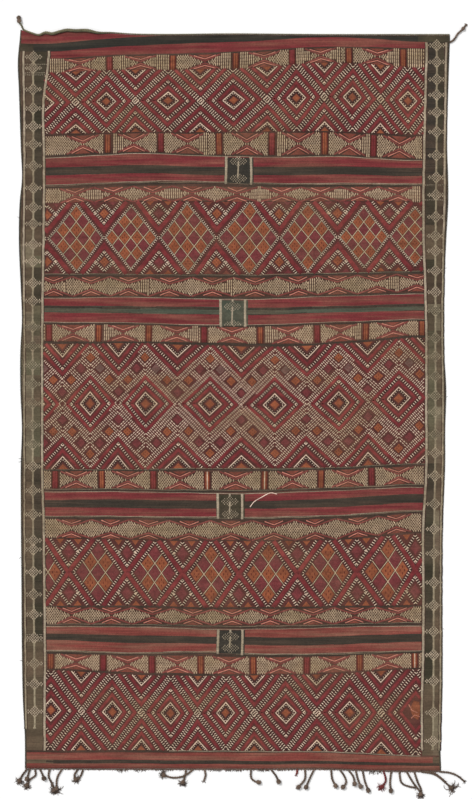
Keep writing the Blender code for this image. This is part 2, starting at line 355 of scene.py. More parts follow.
class Zone:
    """Cloth between two woven lines, drawn on in x and in v, both in mm, with v down from its top."""

    def __init__(self, top, foot, pitch=TICK_PITCH):
        self.pitch = pitch
        self.top = top
        self.foot = foot
        self.depth = float(np.mean(LINE_Y[top]) - np.mean(LINE_Y[foot]))
        middle = float(np.mean(LINE_Y[top]) - self.depth / 2)
        self.left = float(border_x("left inner", middle)) + BORDER_GAP
        self.right = float(border_x("right inner", middle)) - BORDER_GAP

    def place(self, points):
        """World points in mm of an array of (x, v)."""
        points = np.asarray(points, float)
        x = points[..., 0]
        top = line_y(self.top, x)
        share = points[..., 1] / self.depth
        y = top - share * (top - line_y(self.foot, x))
        inside = np.clip(np.minimum(x - self.left, self.right - x) / CALM_SIDE, 0, 1)
        within = np.clip(np.minimum(share, 1 - share) * CALM_ENDS, 0, 1)
        moved_x = x + drift(x, y, *ACROSS_WANDER) * inside
        moved_y = y + drift(x, y, *ALONG_WANDER) * within
        return np.stack([moved_x, moved_y], axis=-1)

    def holds(self, points, margin=0.0):
        points = np.asarray(points, float)
        across = (points[..., 0] > self.left + margin) & (points[..., 0] < self.right - margin)
        return across & (points[..., 1] > margin) & (points[..., 1] < self.depth - margin)

    def clip(self, path):
        """The stretches of a path that lie inside the zone."""
        runs = []
        for a, b in zip(path, path[1:]):
            piece = self.clip_leg(np.asarray(a, float), np.asarray(b, float))
            if piece is None:
                continue
            if runs and np.allclose(runs[-1][-1], piece[0], atol=0.01):
                runs[-1].append(piece[1])
            else:
                runs.append(list(piece))
        return runs

    def clip_leg(self, a, b):
        start, stop = 0.0, 1.0
        step = b - a
        for axis, (low, high) in enumerate(((self.left, self.right), (0.0, self.depth))):
            if abs(step[axis]) < 1e-9:
                if not low <= a[axis] <= high:
                    return None
                continue
            first, second = sorted(((low - a[axis]) / step[axis], (high - a[axis]) / step[axis]))
            start, stop = max(start, first), min(stop, second)
        if stop - start < 1e-6:
            return None
        return a + step * start, a + step * stop


# Brocade is gathered by wool before its meshes are made: floats as (a, b, width) with world
# ends in mm, ribbons as (points, width) and patches as outlines.
floats = {}
ribbons = {}
patches = {}


def add_floats(wool, starts, ends, width):
    starts = np.asarray(starts, float)
    widths = np.full(len(starts), width, float)
    floats.setdefault(wool, []).append((starts, np.asarray(ends, float), widths))


def jitter(shape, amount):
    count = int(np.prod(shape))
    return np.array([chance.uniform(-amount, amount) for _ in range(count)]).reshape(shape)


def tick_row(zone, path, length, width=TICK_WIDTH, bed=True):
    """Short cream floats set square across a path, as brocade lines are woven, on a dark bed."""
    if bed:
        ribbon(zone, "dark", path, length + BED_MARGIN, BED_RISE)
    for run in zone.clip(path):
        for a, b in zip(run, run[1:]):
            reach = float(np.linalg.norm(b - a))
            count = max(1, round(reach / zone.pitch))
            along = (b - a) / reach
            half = np.array([-along[1], along[0]]) * length / 2
            shares = (np.arange(count) + 0.5) / count
            middles = a + np.outer(shares, b - a) + jitter((count, 2), 0.5)
            stretch = 1 + jitter((count, 1), 0.1)
            starts = zone.place(middles - half * stretch)
            add_floats("cream", starts, zone.place(middles + half * stretch), width)


def resample(points, step):
    """The same path with a point at least every step, in mm."""
    fine = [np.asarray(points[0], float)]
    for a, b in zip(points, points[1:]):
        a, b = np.asarray(a, float), np.asarray(b, float)
        count = max(1, math.ceil(np.linalg.norm(b - a) / step))
        fine.extend(a + (b - a) * k / count for k in range(1, count + 1))
    return np.array(fine)


def lay_ribbon(wool, points, width, rise):
    """Keep a run of world points, a hair higher or lower than those that it crosses."""
    ribbons.setdefault(wool, []).append((points, width, rise + chance.uniform(0, 0.12)))


def ribbon(zone, wool, path, width, rise=RIBBON_RISE):
    """A flat run of wool along a path in a zone, this high above the ground."""
    for run in zone.clip(path):
        lay_ribbon(wool, zone.place(resample(run, RIBBON_STEP)), width, rise)


def patch(zone, wool, corners, rise=PATCH_RISE):
    """A filled shape of wool, cut off at the zone's edges."""
    corners = np.asarray(corners, float)
    if not zone.holds(corners.mean(axis=0), -2.0):
        return
    corners = np.clip(corners, (zone.left, 0.0), (zone.right, zone.depth))
    if np.ptp(corners, axis=0).min() >= SMALLEST_PATCH:
        patches.setdefault(wool, []).append((zone.place(corners), rise + chance.uniform(0, 0.1)))


def lone_float(zone, wool, a, b, width):
    """One float between two places in a zone."""
    ends = zone.place([a, b])
    add_floats(wool, ends[:1], ends[1:], width)


def dot(zone, wool, x, v, length, width):
    """One short float, upright."""
    if zone.holds((x, v), 1.0):
        lone_float(zone, wool, (x, v - length / 2), (x, v + length / 2), width)


def lozenge(x, v, left, right, height):
    """Corners of a lozenge round (x, v), from its left one."""
    return [(x - left, v), (x, v - height), (x + right, v), (x, v + height)]


def sides_of(x, others):
    """Distances from x to its neighbours among others, on the left and on the right."""
    left = max((o for o in others if o < x), default=x - NO_NEIGHBOUR)
    right = min((o for o in others if o > x), default=x + NO_NEIGHBOUR)
    return x - left, right - x


def zone_of(name, pitch=TICK_PITCH):
    """The zone of a band, a strip or a group of stripes."""
    return Zone(f"{name} top", f"{name} foot", pitch)


def edge_v(zone, edge):
    return 0.0 if edge == "top" else zone.depth


def ring_path(x, v, widths, height, share=1.0, edge=None):
    """A lozenge ring, or the V of one whose middle lies on the zone's top or foot edge."""
    left, right = widths[0] * share, widths[1] * share
    reach = height * share
    if edge:
        return [(x - left, v), (x, v + INWARD[edge] * reach), (x + right, v)]
    corners = lozenge(x, v, left, right, reach)
    return corners + corners[:1]


def eye(zone, x, v):
    """The small hollow square where two tick rows meet."""
    if zone.holds((x, v), EYE_SIZE):
        path = lozenge(x, v, EYE_SIZE, EYE_SIZE, EYE_SIZE)
        for a, b in zip(path, path[1:] + path[:1]):
            lone_float(zone, "cream", a, b, EYE_YARN)


def ring(zone, path, kind, size, eyes=True):
    """A closed ring or a three-point V, of cream ticks with eyes at its bends or of red ribbon."""
    if kind == "ribbon":
        ribbon(zone, "crimson", path, size)
        return
    tick_row(zone, path, size)
    if eyes:
        for corner in path[1:2] if len(path) == 3 else path[:4]:
            eye(zone, *corner)


def centre_lozenge(zone, x, v, widths, size, edge=None):
    """The small dotted lozenge at the heart of the nested rings."""
    inner = ring_path(x, v, widths, size, 0.8, edge)
    ribbon(zone, "dark", inner, 17.0, BED_RISE)
    ribbon(zone, "cream", ring_path(x, v, widths, size, 1.0, edge), 4.2, 0.8)
    tick_row(zone, inner, 6.0, 4.0, False)
    heart = [w * HEART_SHARE for w in widths]
    patch(zone, "orange", lozenge(x, v, *heart, size * HEART_SHARE))
    for dx, dv in HEART_DOTS:
        side = heart[0] if dx < 0 else heart[1]
        dot(zone, "crimson", x + dx * side * 1.8, v + dv * size * 0.8, 4.0, 4.0)


# Rings from the outside in: share of the diamond, kind and width in mm.
NESTED_RINGS = (
    (0.938, "ticks", 10.5),
    (0.785, "ribbon", 13.0),
    (0.615, "ticks", 12.0),
    (0.445, "ribbon", 12.0),
)
EYES_BELOW = 0.9
NESTED_HEART = 0.32
NESTED_HEART_HEIGHT = 0.28


def nested_rings(zone, x, v, widths, height, edge=None, heart=True):
    for share, kind, size in NESTED_RINGS:
        ring(zone, ring_path(x, v, widths, height, share, edge), kind, size, share < EYES_BELOW)
    if heart:
        halves = [w * NESTED_HEART for w in widths]
        centre_lozenge(zone, x, v, halves, height * NESTED_HEART_HEIGHT, edge)


def crossing(zone, x, v):
    """Three slanting ticks, where one double row of ticks passes over another."""
    if zone.holds((x, v), CROSSING_MARGIN):
        for shift in (-6.0, 0.0, 6.0):
            start = (x + shift - CROSSING_HALF, v + shift + CROSSING_HALF)
            end = (x + shift + CROSSING_HALF, v + shift - CROSSING_HALF)
            lone_float(zone, "cream", start, end, TICK_WIDTH)


# The last diamond of band 5 ends in an irregular patch with two small branches: (x, v) in mm.
RAGGED_BAND = 5
RAGGED_HEART = ((674, 146), (690, 112), (712, 118), (716, 150), (708, 186), (688, 176))
RAGGED_BRANCHES = (((670, 128), (684, 150), (706, 158)), ((680, 178), (694, 166), (714, 172)))


def ragged_heart(zone):
    patch(zone, "orange", RAGGED_HEART)
    for path in RAGGED_BRANCHES:
        ribbon(zone, "rose", path, 4.4, 0.8)


def band_of_nested_diamonds(number):
    """Bands 1 and 5: nested diamonds, with the same rings as Vs above and below each crossing."""
    zone = zone_of(f"band {number}")
    centres, crossings = BAND_COLUMNS[number]
    middle = zone.depth / 2
    for x in centres:
        ragged = number == RAGGED_BAND and x == centres[-1]
        nested_rings(zone, x, middle, sides_of(x, crossings), middle, heart=not ragged)
        if ragged:
            ragged_heart(zone)
    for x in crossings:
        for edge in INWARD:
            nested_rings(zone, x, edge_v(zone, edge), sides_of(x, centres), middle, edge)
        crossing(zone, x, middle)


# The dots in a cell: their wool, middles, length and width, as shares of the cell's half sizes.
ORANGE_DOTS = ("dark red", ((-0.34, 0), (0.34, 0), (0, -0.34), (0, 0.34)), 0.32, 0.32)
OTHER_DOTS = ("crimson", ((-0.2, -0.2), (0.2, 0.2), (0.2, -0.2), (-0.2, 0.2)), 0.16, 0.2)


def small_lozenge(zone, wool, x, v, left, right, height):
    """One cell of a lattice: a filled lozenge with four dots."""
    patch(zone, wool, lozenge(x, v, left, right, height))
    wide = (left + right) / 2
    dot_wool, places, long, thick = ORANGE_DOTS if wool == "orange" else OTHER_DOTS
    for dx, dv in places:
        dot(zone, dot_wool, x + dx * wide, v + dv * height, height * long, wide * thick)


CELL_SHARE = 0.9
LATTICE_BED = 9.0
LATTICE_LINE = 3.8


def lattice(zone, x, v, widths, height, count, first_wool):
    """count by count lozenges in rows of alternating wools, with thin cream lines between."""

    def at(a, b):
        side = widths[0] if a < b else widths[1]
        return x + (a - b) * side, v + (a + b - 1) * height

    wools = (first_wool, "plum" if first_wool == "orange" else "orange")
    for i in range(count):
        for j in range(count):
            middle = at((i + 0.5) / count, (j + 0.5) / count)
            left, right = widths[0] / count * CELL_SHARE, widths[1] / count * CELL_SHARE
            wool = wools[(i + j) % 2]
            small_lozenge(zone, wool, *middle, left, right, height / count * CELL_SHARE)
    for k in range(1, count):
        share = k / count
        for line in ([at(0, share), at(share, share), at(1, share)],
                     [at(share, 0), at(share, share), at(share, 1)]):
            ribbon(zone, "dark", line, LATTICE_BED, BED_RISE)
            ribbon(zone, "wheat", line, LATTICE_LINE, 0.8)


# Between two diamonds, from a band's edge: how far a V of ticks and a red V reach, then the
# middle and half sizes of the tick diamond inside, and half sizes of its heart and of the
# half lozenges on both sides of it.
VALLEYS = {
    2: (86.0, 112.0, 47.0, (36.0, 38.0), (20.0, 21.0), (17.0, 17.0)),
    4: (106.0, None, 52.0, (35.0, 48.0), (22.0, 29.0), (17.0, 22.0)),
}
VALLEY_WOOLS = {
    2: (("orange", "plum"), ("orange", "plum"), ("plum", "orange"), ("orange", "rust")),
    4: (("plum", "orange"),),
}
VALLEY_TICK = 12.5
VALLEY_RED = 19.0
INNER_TICK = 12.0


def valley(zone, number, x, edge, lean, wools):
    """A V of ticks at a band's edge, which holds a smaller tick diamond; lean is its width to depth."""
    reach, red_reach, offset, half, heart, side_half = VALLEYS[number]
    start, sign = edge_v(zone, edge), INWARD[edge]
    if red_reach:
        widths = [red_reach * share for share in lean]
        ribbon(zone, "crimson", ring_path(x, start, widths, red_reach, 1.0, edge), VALLEY_RED)
    widths = [reach * share for share in lean]
    tick_row(zone, ring_path(x, start, widths, reach, 1.0, edge), VALLEY_TICK)
    eye(zone, x, start + sign * reach)
    middle = start + sign * offset
    left, right = (half[0] * share / np.mean(lean) for share in lean)
    tip = (x, middle - sign * half[1])
    tick_row(zone, [(x - left, middle), tip, (x + right, middle)], INNER_TICK)
    eye(zone, x - left, middle)
    eye(zone, x + right, middle)
    small_lozenge(zone, wools[0], x, middle, heart[0], heart[0], heart[1])
    for place in (x - left, x + right):
        patch(zone, wools[1], lozenge(place, start, side_half[0], side_half[0], side_half[1]))


# Bands of lattices: cells along a side, reach of the tick ring and of the lattice as shares of the
# diamond, width of the red ring, pitch and length of the ticks, and the diamond's height to half width.
LATTICE_BANDS = {
    2: (4, 0.985, 0.925, None, 9.0, 7.5, 1.235),
    4: (3, 0.83, 0.765, 18.0, 10.2, 10.0, 1.40),
}
LATTICE_WOOLS = {
    2: ("orange", "orange", "plum", "orange", "orange", "orange", "plum", "orange"),
    4: ("orange", "plum", "plum", "orange", "orange", "orange", "orange", "plum"),
}
OUTLINED_BAND = 2


def band_of_lattices(number):
    """Bands 2 and 4: diamonds filled with a lattice, parted by red zigzags."""
    cells, ring_share, lattice_share, red_width, pitch, length, slope = LATTICE_BANDS[number]
    zone = zone_of(f"band {number}", pitch)
    centres, crossings = BAND_COLUMNS[number]
    middle = zone.depth / 2
    for x, first in zip(centres, LATTICE_WOOLS[number]):
        widths = sides_of(x, crossings)
        height = (widths[0] + widths[1]) / 2 * slope
        if red_width:
            ribbon(zone, "crimson", ring_path(x, middle, widths, height), red_width)
        tick_row(zone, ring_path(x, middle, widths, height, ring_share), length)
        inner = [w * lattice_share for w in widths]
        lattice(zone, x, middle, inner, height * lattice_share, cells, first)
        if number == OUTLINED_BAND:
            ribbon(zone, "sand", ring_path(x, middle, inner, height * lattice_share), 3.0, 0.7)
    choices = VALLEY_WOOLS[number]
    for index, x in enumerate(crossings):
        widths = sides_of(x, centres)
        lean = [w / np.mean(widths) / slope for w in widths]
        for edge in INWARD:
            valley(zone, number, x, edge, lean, choices[index % len(choices)])


# Band 3: rings as (radius in mm, kind, width) and the mesh of ticks between them. Its small
# lozenges go by steps from a diamond's middle to a crossing: (step, wool, v).
BIG_RINGS = (
    (106.0, "ribbon", 13.0),
    (87.0, "ticks", 11.0),
    (66.0, "ribbon", 13.0),
)
BIG_HEART = 45.0
BIG_MIDDLE = 0.479
BIG_EDGE_SCALE = 1.13
BIG_HALF_WIDTH = 127.0
MESH_ROW = 12.6
MESH_TICK = 8.4
MESH_REACH = 420
MESH_ROWS = 34
MESH_FLOAT = (5.0, 4.4)
MESH_KEEP = 116.0
MESH_CLEAR = 26.0
MESH_BED = 23.0
MESH_CELL = 21.0
MESH_STEPS = ((0, "orange", 54.0), (1, "plum", 97.0), (2, "orange", 142.0), (3, "plum", 190.0))
LOWER_SHIFT = 6.0


def big_rings(zone, x, v, widths, edge=None):
    scale = [w / BIG_HALF_WIDTH for w in widths]
    grown = BIG_EDGE_SCALE if edge else 1.0
    for radius, kind, size in ((r * grown, k, s) for r, k, s in BIG_RINGS):
        ring(zone, ring_path(x, v, [s * radius for s in scale], radius, 1.0, edge), kind, size)
    heart = BIG_HEART * grown
    centre_lozenge(zone, x, v, [s * heart for s in scale], heart, edge)


def mesh_lozenges(zone, centres, crossings):
    """Small lozenges set along the cream mesh, as (x, v, wool); those on a middle line only once."""
    found = []
    for x in centres:
        for side, reach in zip((-1, 1), sides_of(x, crossings)):
            for step, wool, v in MESH_STEPS:
                if step in (0, 3) and side > 0:
                    continue
                place_x = x + side * reach * step / 3
                upper = "ash" if step == 1 and side > 0 else wool
                found.append((place_x, v, upper))
                found.append((place_x, zone.depth - v - LOWER_SHIFT, wool))
    return found


def square_gap(points, x, v, widths, radius):
    """How far points lie from a square's middle, as a share of its radius on each side."""
    dx = points[:, 0] - x
    side = np.where(dx < 0, widths[0], widths[1]) / BIG_HALF_WIDTH
    return (np.abs(dx) / side + np.abs(points[:, 1] - v)) / radius


def mesh_quarter(zone, apex_x, cross_x, lower, keep_out, spots):
    """Rows of ticks in the mesh between a diamond's tip and a crossing, in half the band."""
    middle = zone.depth * BIG_MIDDLE
    start = np.array([apex_x, zone.depth if lower else 0.0])
    along = np.array([1 if cross_x > apex_x else -1, -1 if lower else 1]) / math.sqrt(2)
    across = np.array([along[1], -along[0]])
    reach = int(MESH_REACH / MESH_TICK)
    lanes = (np.arange(-MESH_ROWS, MESH_ROWS) + 0.5) * MESH_ROW
    s, q = np.meshgrid(np.arange(-reach, reach) * MESH_TICK, lanes)
    points = start + s.reshape(-1, 1) * along + q.reshape(-1, 1) * across
    low_x, high_x = sorted((apex_x, cross_x))
    keep = (points[:, 0] >= low_x) & (points[:, 0] < high_x)
    keep &= (points[:, 1] >= middle) if lower else (points[:, 1] < middle)
    points = points[keep & zone.holds(points, 4.0)]
    for square in keep_out:
        points = points[square_gap(points, *square) > 1.0]
    for x, v, _ in spots:
        points = points[np.abs(points[:, 0] - x) + np.abs(points[:, 1] - v) > MESH_CLEAR]
    points = points + jitter(points.shape, 0.5)
    half = across * MESH_FLOAT[0]
    add_floats("cream", zone.place(points - half), zone.place(points + half), MESH_FLOAT[1])


def band_of_meshed_diamonds(number):
    """Band 3: diamonds and Vs of square rings in a broad cream mesh with small lozenges."""
    zone = zone_of(f"band {number}")
    centres, crossings = BAND_COLUMNS[number]
    middle = zone.depth * BIG_MIDDLE
    keep_out = []
    for x in centres:
        widths = sides_of(x, crossings)
        keep_out.append((x, middle, widths, MESH_KEEP))
        big_rings(zone, x, middle, widths)
    for x in crossings:
        widths = sides_of(x, centres)
        for edge in INWARD:
            keep_out.append((x, edge_v(zone, edge), widths, MESH_KEEP * BIG_EDGE_SCALE))
            big_rings(zone, x, edge_v(zone, edge), widths, edge)
    spots = mesh_lozenges(zone, centres, crossings)
    for x, v, wool in spots:
        patch(zone, "dark", lozenge(x, v, MESH_BED, MESH_BED, MESH_BED), 0.2)
        small_lozenge(zone, wool, x, v, MESH_CELL, MESH_CELL, MESH_CELL)
    for apex in centres:
        for side, reach in zip((-1, 1), sides_of(apex, crossings)):
            for lower in (False, True):
                mesh_quarter(zone, apex, apex + side * reach, lower, keep_out, spots)


# Dotted cream strips. The dots are staggered, but away from the figures they run in upright
# lines where a slow wave along the strip is above the strip's own level. HIGH_STRIPS are
# those of the upper half, whose dots are a piece of their own.
DOT_COLUMN = 4.7
DOT_ROW = 12.8
DOT_WIDTH = 4.7
DOT_LENGTHS = {1: 10.2, 2: 10.0, 3: 10.6, 4: 10.2, 5: 10.4, 6: 10.0, 7: 9.8, 8: 10.0, 9: 10.2}
LINED_ABOVE = {1: -0.4, 2: 0.8, 3: -0.2, 4: 0.5, 5: 0.7}
NEVER = 2.0
LINED_WAVE = 53.0
LINED_PHASE = 2.4
LINED_COLUMN = 8.4
LINED_WIDTH = 5.8
LINED_LENGTH = 13.4
LINED_CLEAR = 40.0
CHAIN_DEPTH = 26.0
CHAIN_REACH = 84.0
CHEVRON_SHARE = 0.43
CHEVRON_HALF = 63.0
MADDER_WIDTH = 7.0
# Half widths of the rose line where a strip has bars and where it has none.
ROSE_HALVES = {True: 44.0, False: 37.0}
ROSE_WIDTH = 4.4
ROSE_INSET = 9.0
RUST_SHARE = 0.72
RUST_INSET = 13.0
CHEVRON_CLEAR = 5.5
BAR_WIDTH = 29.0
BAR_CORE = 0.28
HIGH_STRIPS = (1, 2, 3, 4)


def chevron_reach(number, x, middles):
    if STRIPS[number][1]:
        return CHEVRON_HALF, CHEVRON_HALF
    left, right = sides_of(x, middles)
    return min(left / 2, CHAIN_REACH), min(right / 2, CHAIN_REACH)


def chevron(zone, x, reach, depth, rose_half, edge):
    """A dark red and a rose line in a V from a strip's edge, with a small triangle inside."""
    start, sign = edge_v(zone, edge), INWARD[edge]
    left, right = reach
    ribbon(zone, "madder", [(x - left, start), (x, start + sign * depth), (x + right, start)], MADDER_WIDTH)
    end_v = start + sign * 3
    tip = (x, start + sign * (depth - ROSE_INSET))
    ribbon(zone, "rose", [(x - rose_half, end_v), tip, (x + rose_half, end_v)], ROSE_WIDTH, 0.7)
    half = rose_half * RUST_SHARE
    tip = (x, start + sign * (depth - RUST_INSET))
    patch(zone, "rust", [(x - half, start), tip, (x + half, start)])


def bar(zone, x, wool):
    """An upright bar across a strip, dark at its sides."""
    core = {"split": "orange", "plum": "crimson"}.get(wool, wool)
    ribbon(zone, "dark red", [(x, 0), (x, zone.depth)], BAR_WIDTH, 0.3)
    for side in (-1, 1):
        place = x + side * BAR_WIDTH * BAR_CORE / 2
        ribbon(zone, core, [(place, 0), (place, zone.depth)], BAR_WIDTH * BAR_CORE, 0.7)
    if wool == "split":
        ribbon(zone, "cream", [(x, 0), (x, zone.depth)], 4.4, 1.0)


def strip_dots(number, zone, middles):
    """Middles, lengths and widths of the dots of a strip, before its figures are cut out."""
    found = []
    x = zone.left + 4
    odd = False
    while x < zone.right - 3:
        clear = min(abs(x - middle) for middle in middles) > LINED_CLEAR
        lined = clear and math.sin(x / LINED_WAVE + number * LINED_PHASE) > LINED_ABOVE.get(number, NEVER)
        size = (LINED_LENGTH, LINED_WIDTH) if lined else (DOT_LENGTHS[number], DOT_WIDTH)
        first = 2.5 if lined or not odd else 2.5 + DOT_ROW / 2
        found.extend((x, v, *size) for v in np.arange(first, zone.depth, DOT_ROW))
        x += LINED_COLUMN if lined else DOT_COLUMN
        odd = not odd
    return np.array(found)


def dotted_strip(number):
    foot = {1: "band 1 top", 3: "band 2 top"}.get(number, f"strip {number} foot")
    zone = Zone(f"strip {number} top", foot)
    middles, bars = STRIPS[number]
    depth = zone.depth * CHEVRON_SHARE if bars else CHAIN_DEPTH
    dots = strip_dots(number, zone, middles)
    points = dots[:, :2]
    edge_gap = np.minimum(points[:, 1], zone.depth - points[:, 1])
    keep = edge_gap > 2.0
    for middle in middles:
        left, right = chevron_reach(number, middle, middles)
        offset = points[:, 0] - middle
        share = 1 - np.where(offset < 0, -offset / left, offset / right)
        keep &= edge_gap > share * depth + CHEVRON_CLEAR * (share > 0)
        for edge in INWARD:
            chevron(zone, middle, (left, right), depth, ROSE_HALVES[bool(bars)], edge)
    for middle, wool in bars:
        keep &= np.abs(points[:, 0] - middle) > BAR_WIDTH / 2 + 2
        bar(zone, middle, wool)
    dots = dots[keep]
    points = dots[:, :2] + jitter((len(dots), 2), 0.4)
    half = np.column_stack([np.zeros(len(dots)), dots[:, 2] / 2])
    starts, ends = zone.place(points - half), zone.place(points + half)
    add_floats("wheat high" if number in HIGH_STRIPS else "wheat low", starts, ends, dots[:, 3])


# Side borders.
BORDER_TOP = {"left": 1428.0, "right": 1462.0}
BORDER_FOOT = -1370.0
PATTERN_FOOT = {"left": -1284.0, "right": -1370.0}
STAR_HALF_WIDTH = 34.0
STAR_HALF_HEIGHT = 21.0
STAR_BODY = 5.0
STAR_DOT = 5.3
STAR_FILL = 1.05
STAR_REACH = (0.3, 3.4)
STAR_FLOAT = 5.8
STAR_CLEAR = 15.0
LAST_STAR_GAP = 14.0
SPINE_FROM = 42
SPINE_WIDTH = 8.5
SPINE_POINTS = 7
FLARE_LENGTH = 7.0
FLARE_WIDTH = 13.0
LINE_STEP = 18.0
LINE_BED = 8.0
BEAD_PITCH = 6.8
BEAD_OVERLAP = 0.3
CROSS_PITCH = 8.4
CROSS_REACH = 2.6
CROSS_WIDTH = 4.0

# Middles of the stars down each border: y in mm.
STARS = {
    "left": (1404, 1360, 1274, 1198, 1126, 1054, 968, 880, 802, 736, 654, 586, 500, 428, 324, 248,
             170, 96, 18, -70, -146, -234, -330, -426, -530, -566, -656, -746, -826, -920, -1022,
             -1104, -1214),
    "right": (1450, 1384, 1314, 1252, 1182, 1104, 1010, 922, 852, 764, 688, 628, 548, 464, 388, 280,
              206, 126, 48, -16, -106, -180, -272, -384, -484, -582, -698, -790, -894, -988, -1092,
              -1218, -1332),
}

# The stars of each border are of a fainter wool from the first y down to the second, and its
# outer line is fainter below one y.
FADED = {"left": (420, -200), "right": (440, -170)}
OUTER_LINE_FADES = {"left": 420, "right": 690}

# Wools of the borders from each y down: left outer, left inner, right inner and right outer half.
BORDER_GROUNDS = (
    (1600, "bark", "olive", "black", "olive"),
    (1140, "umber", "olive", "black", "olive"),
    (932, "bark", "olive", "olive", "bark"),
    (744, "umber", "bark", "umber", "umber"),
    (664, "moss", "umber", "umber", "umber"),
    (612, "moss", "sage", "olive", "umber"),
    (568, "umber", "olive", "bark", "bark"),
    (436, "umber", "olive", "moss", "moss"),
    (410, "moss", "sage", "umber", "moss"),
    (310, "moss", "moss", "sage", "umber"),
    (262, "sage", "sage", "sage", "umber"),
    (140, "moss", "umber", "sage", "umber"),
    (10, "moss", "sage", "sage", "moss"),
    (-170, "moss", "umber", "umber", "moss"),
    (-200, "umber", "olive", "olive", "umber"),
    (-400, "umber", "olive", "olive", "moss"),
    (-560, "umber", "olive", "olive", "umber"),
    (-912, "umber", "umber", "olive", "umber"),
    (-1088, "umber", "umber", "umber", "umber"),
    (-1200, "umber", "umber", "umber", "moss"),
)
HALVES = ("left outer half", "left inner half", "right inner half", "right outer half")

# Dotted lines across a border: (side, y).
CROSS_LINES = (
    ("left", 1374),
    ("left", 1340),
    ("left", 1332),
    ("left", -906),
    ("left", -932),
    ("right", 892),
    ("right", 832),
)


def border_ground(half, y):
    """Wool of a half of a border at y."""
    column = 1 + HALVES.index(half)
    return [row[column] for row in BORDER_GROUNDS if row[0] >= y][-1]


def star(x, y, half_width, half_height, wool, limits=None):
    """A broad lozenge of small floats, in world mm."""
    columns = math.ceil(half_width / STAR_DOT) + 1
    rows = math.ceil(half_height / STAR_DOT)
    points = []
    for i in range(-columns, columns + 1):
        for j in range(-rows, rows + 1):
            dx, dy = i * STAR_DOT, j * STAR_DOT
            past_body = max(abs(dx) - STAR_BODY, 0.0) / (half_width - STAR_BODY)
            inside = past_body + abs(dy) / half_height < STAR_FILL
            if inside and (i + j) % 2 == 0:
                points.append((x + dx, y + dy))
    points = np.array(points) + jitter((len(points), 2), 0.5)
    if limits:
        low_x, high_x, low_y = limits
        points = points[(points[:, 0] > low_x) & (points[:, 0] < high_x) & (points[:, 1] > low_y)]
    reach = np.array(STAR_REACH)
    add_floats(wool, points - reach, points + reach, STAR_FLOAT)


def border_run(name, top, foot, width, wool):
    """One pale line down a border, a little uneven in width and place."""
    ys = np.append(np.arange(top, foot, -LINE_STEP), foot)
    xs = border_x(name, ys) + jitter(ys.shape, 0.9)
    points = np.stack([xs, ys], axis=-1)
    lay_ribbon("dark", points, width + LINE_BED, BED_RISE)
    lay_ribbon(wool, points, width, 0.7)
    beaded(wool, points, width)


def beaded(wool, points, width):
    """Floats side by side across an upright line of world points, from its top down."""
    ys = np.arange(points[0, 1] - 3.0, points[-1, 1] + 2.0, -BEAD_PITCH)
    xs = np.interp(ys, points[::-1, 1], points[::-1, 0])
    middles = np.stack([xs, ys], axis=-1)
    reach = np.stack([np.full(len(ys), width / 2), np.zeros(len(ys))], axis=-1)
    reach = reach * (1 + jitter((len(ys), 1), 0.08))
    add_floats(wool, middles - reach, middles + reach, BEAD_PITCH + BEAD_OVERLAP)


def spine_stretch(side, top, foot, wool):
    """The spine between two stars, a little flared at both ends."""
    ys = np.linspace(top, foot, SPINE_POINTS)
    points = np.stack([border_x(f"{side} spine", ys) + jitter(ys.shape, 0.7), ys], axis=-1)
    lay_ribbon(wool, points, SPINE_WIDTH, 0.6)
    for start, sign in ((0, 1), (-1, -1)):
        x, y = points[start]
        lay_ribbon(wool, np.array([(x, y), (x, y - sign * FLARE_LENGTH)]), FLARE_WIDTH, 0.5)


def cross_line(side, y):
    """Small floats in a row across a border."""
    low_x, high_x = sorted(float(border_x(f"{side} {line}", y)) for line in ("outer", "inner"))
    xs = np.arange(low_x + 8, high_x - 6, CROSS_PITCH)
    points = np.stack([xs, np.full(len(xs), y)], axis=-1) + jitter((len(xs), 2), 0.8)
    reach = np.array([CROSS_REACH, 0.0])
    add_floats("sand", points - reach, points + reach, CROSS_WIDTH)


def borders():
    for side in ("left", "right"):
        border_run(f"{side} outer", BORDER_TOP[side], OUTER_LINE_FADES[side], 9.5, "sand")
        border_run(f"{side} outer", OUTER_LINE_FADES[side], PATTERN_FOOT[side], 8.0, "straw")
        border_run(f"{side} inner", BORDER_TOP[side], BORDER_FOOT, 10.5, "sand")
        middles = STARS[side]
        for y, following in zip(middles, (*middles[1:], PATTERN_FOOT[side] - LAST_STAR_GAP)):
            faded = FADED[side][0] > y > FADED[side][1]
            wool = "straw" if faded else "oat"
            star(float(border_x(f"{side} spine", y)), y, STAR_HALF_WIDTH, STAR_HALF_HEIGHT, wool)
            if y - following > SPINE_FROM:
                spine_stretch(side, y - STAR_CLEAR, following + STAR_CLEAR, "straw")
    for side, y in CROSS_LINES:
        cross_line(side, y)


# The four small dark blocks woven into the plain stripes: group, wool, left x and right x in mm,
# then how far down its two stars lie, as shares of the group's depth.
BLOCKS = (
    (1, "night", -68, 42, 0.18, 0.84),
    (2, "grey", -88, 21, 0.30, 1.00),
    (3, "olive", -98, 8, 0.33, 0.86),
    (4, "night", -98, 6, 0.31, 0.80),
)
BLOCK_OVERHANG = 9.0
BLOCK_STAR = (40.0, 18.5)
BLOCK_LINE = 11.0
BLOCK_BEADS = 12.0
LOW_STAR = 0.25


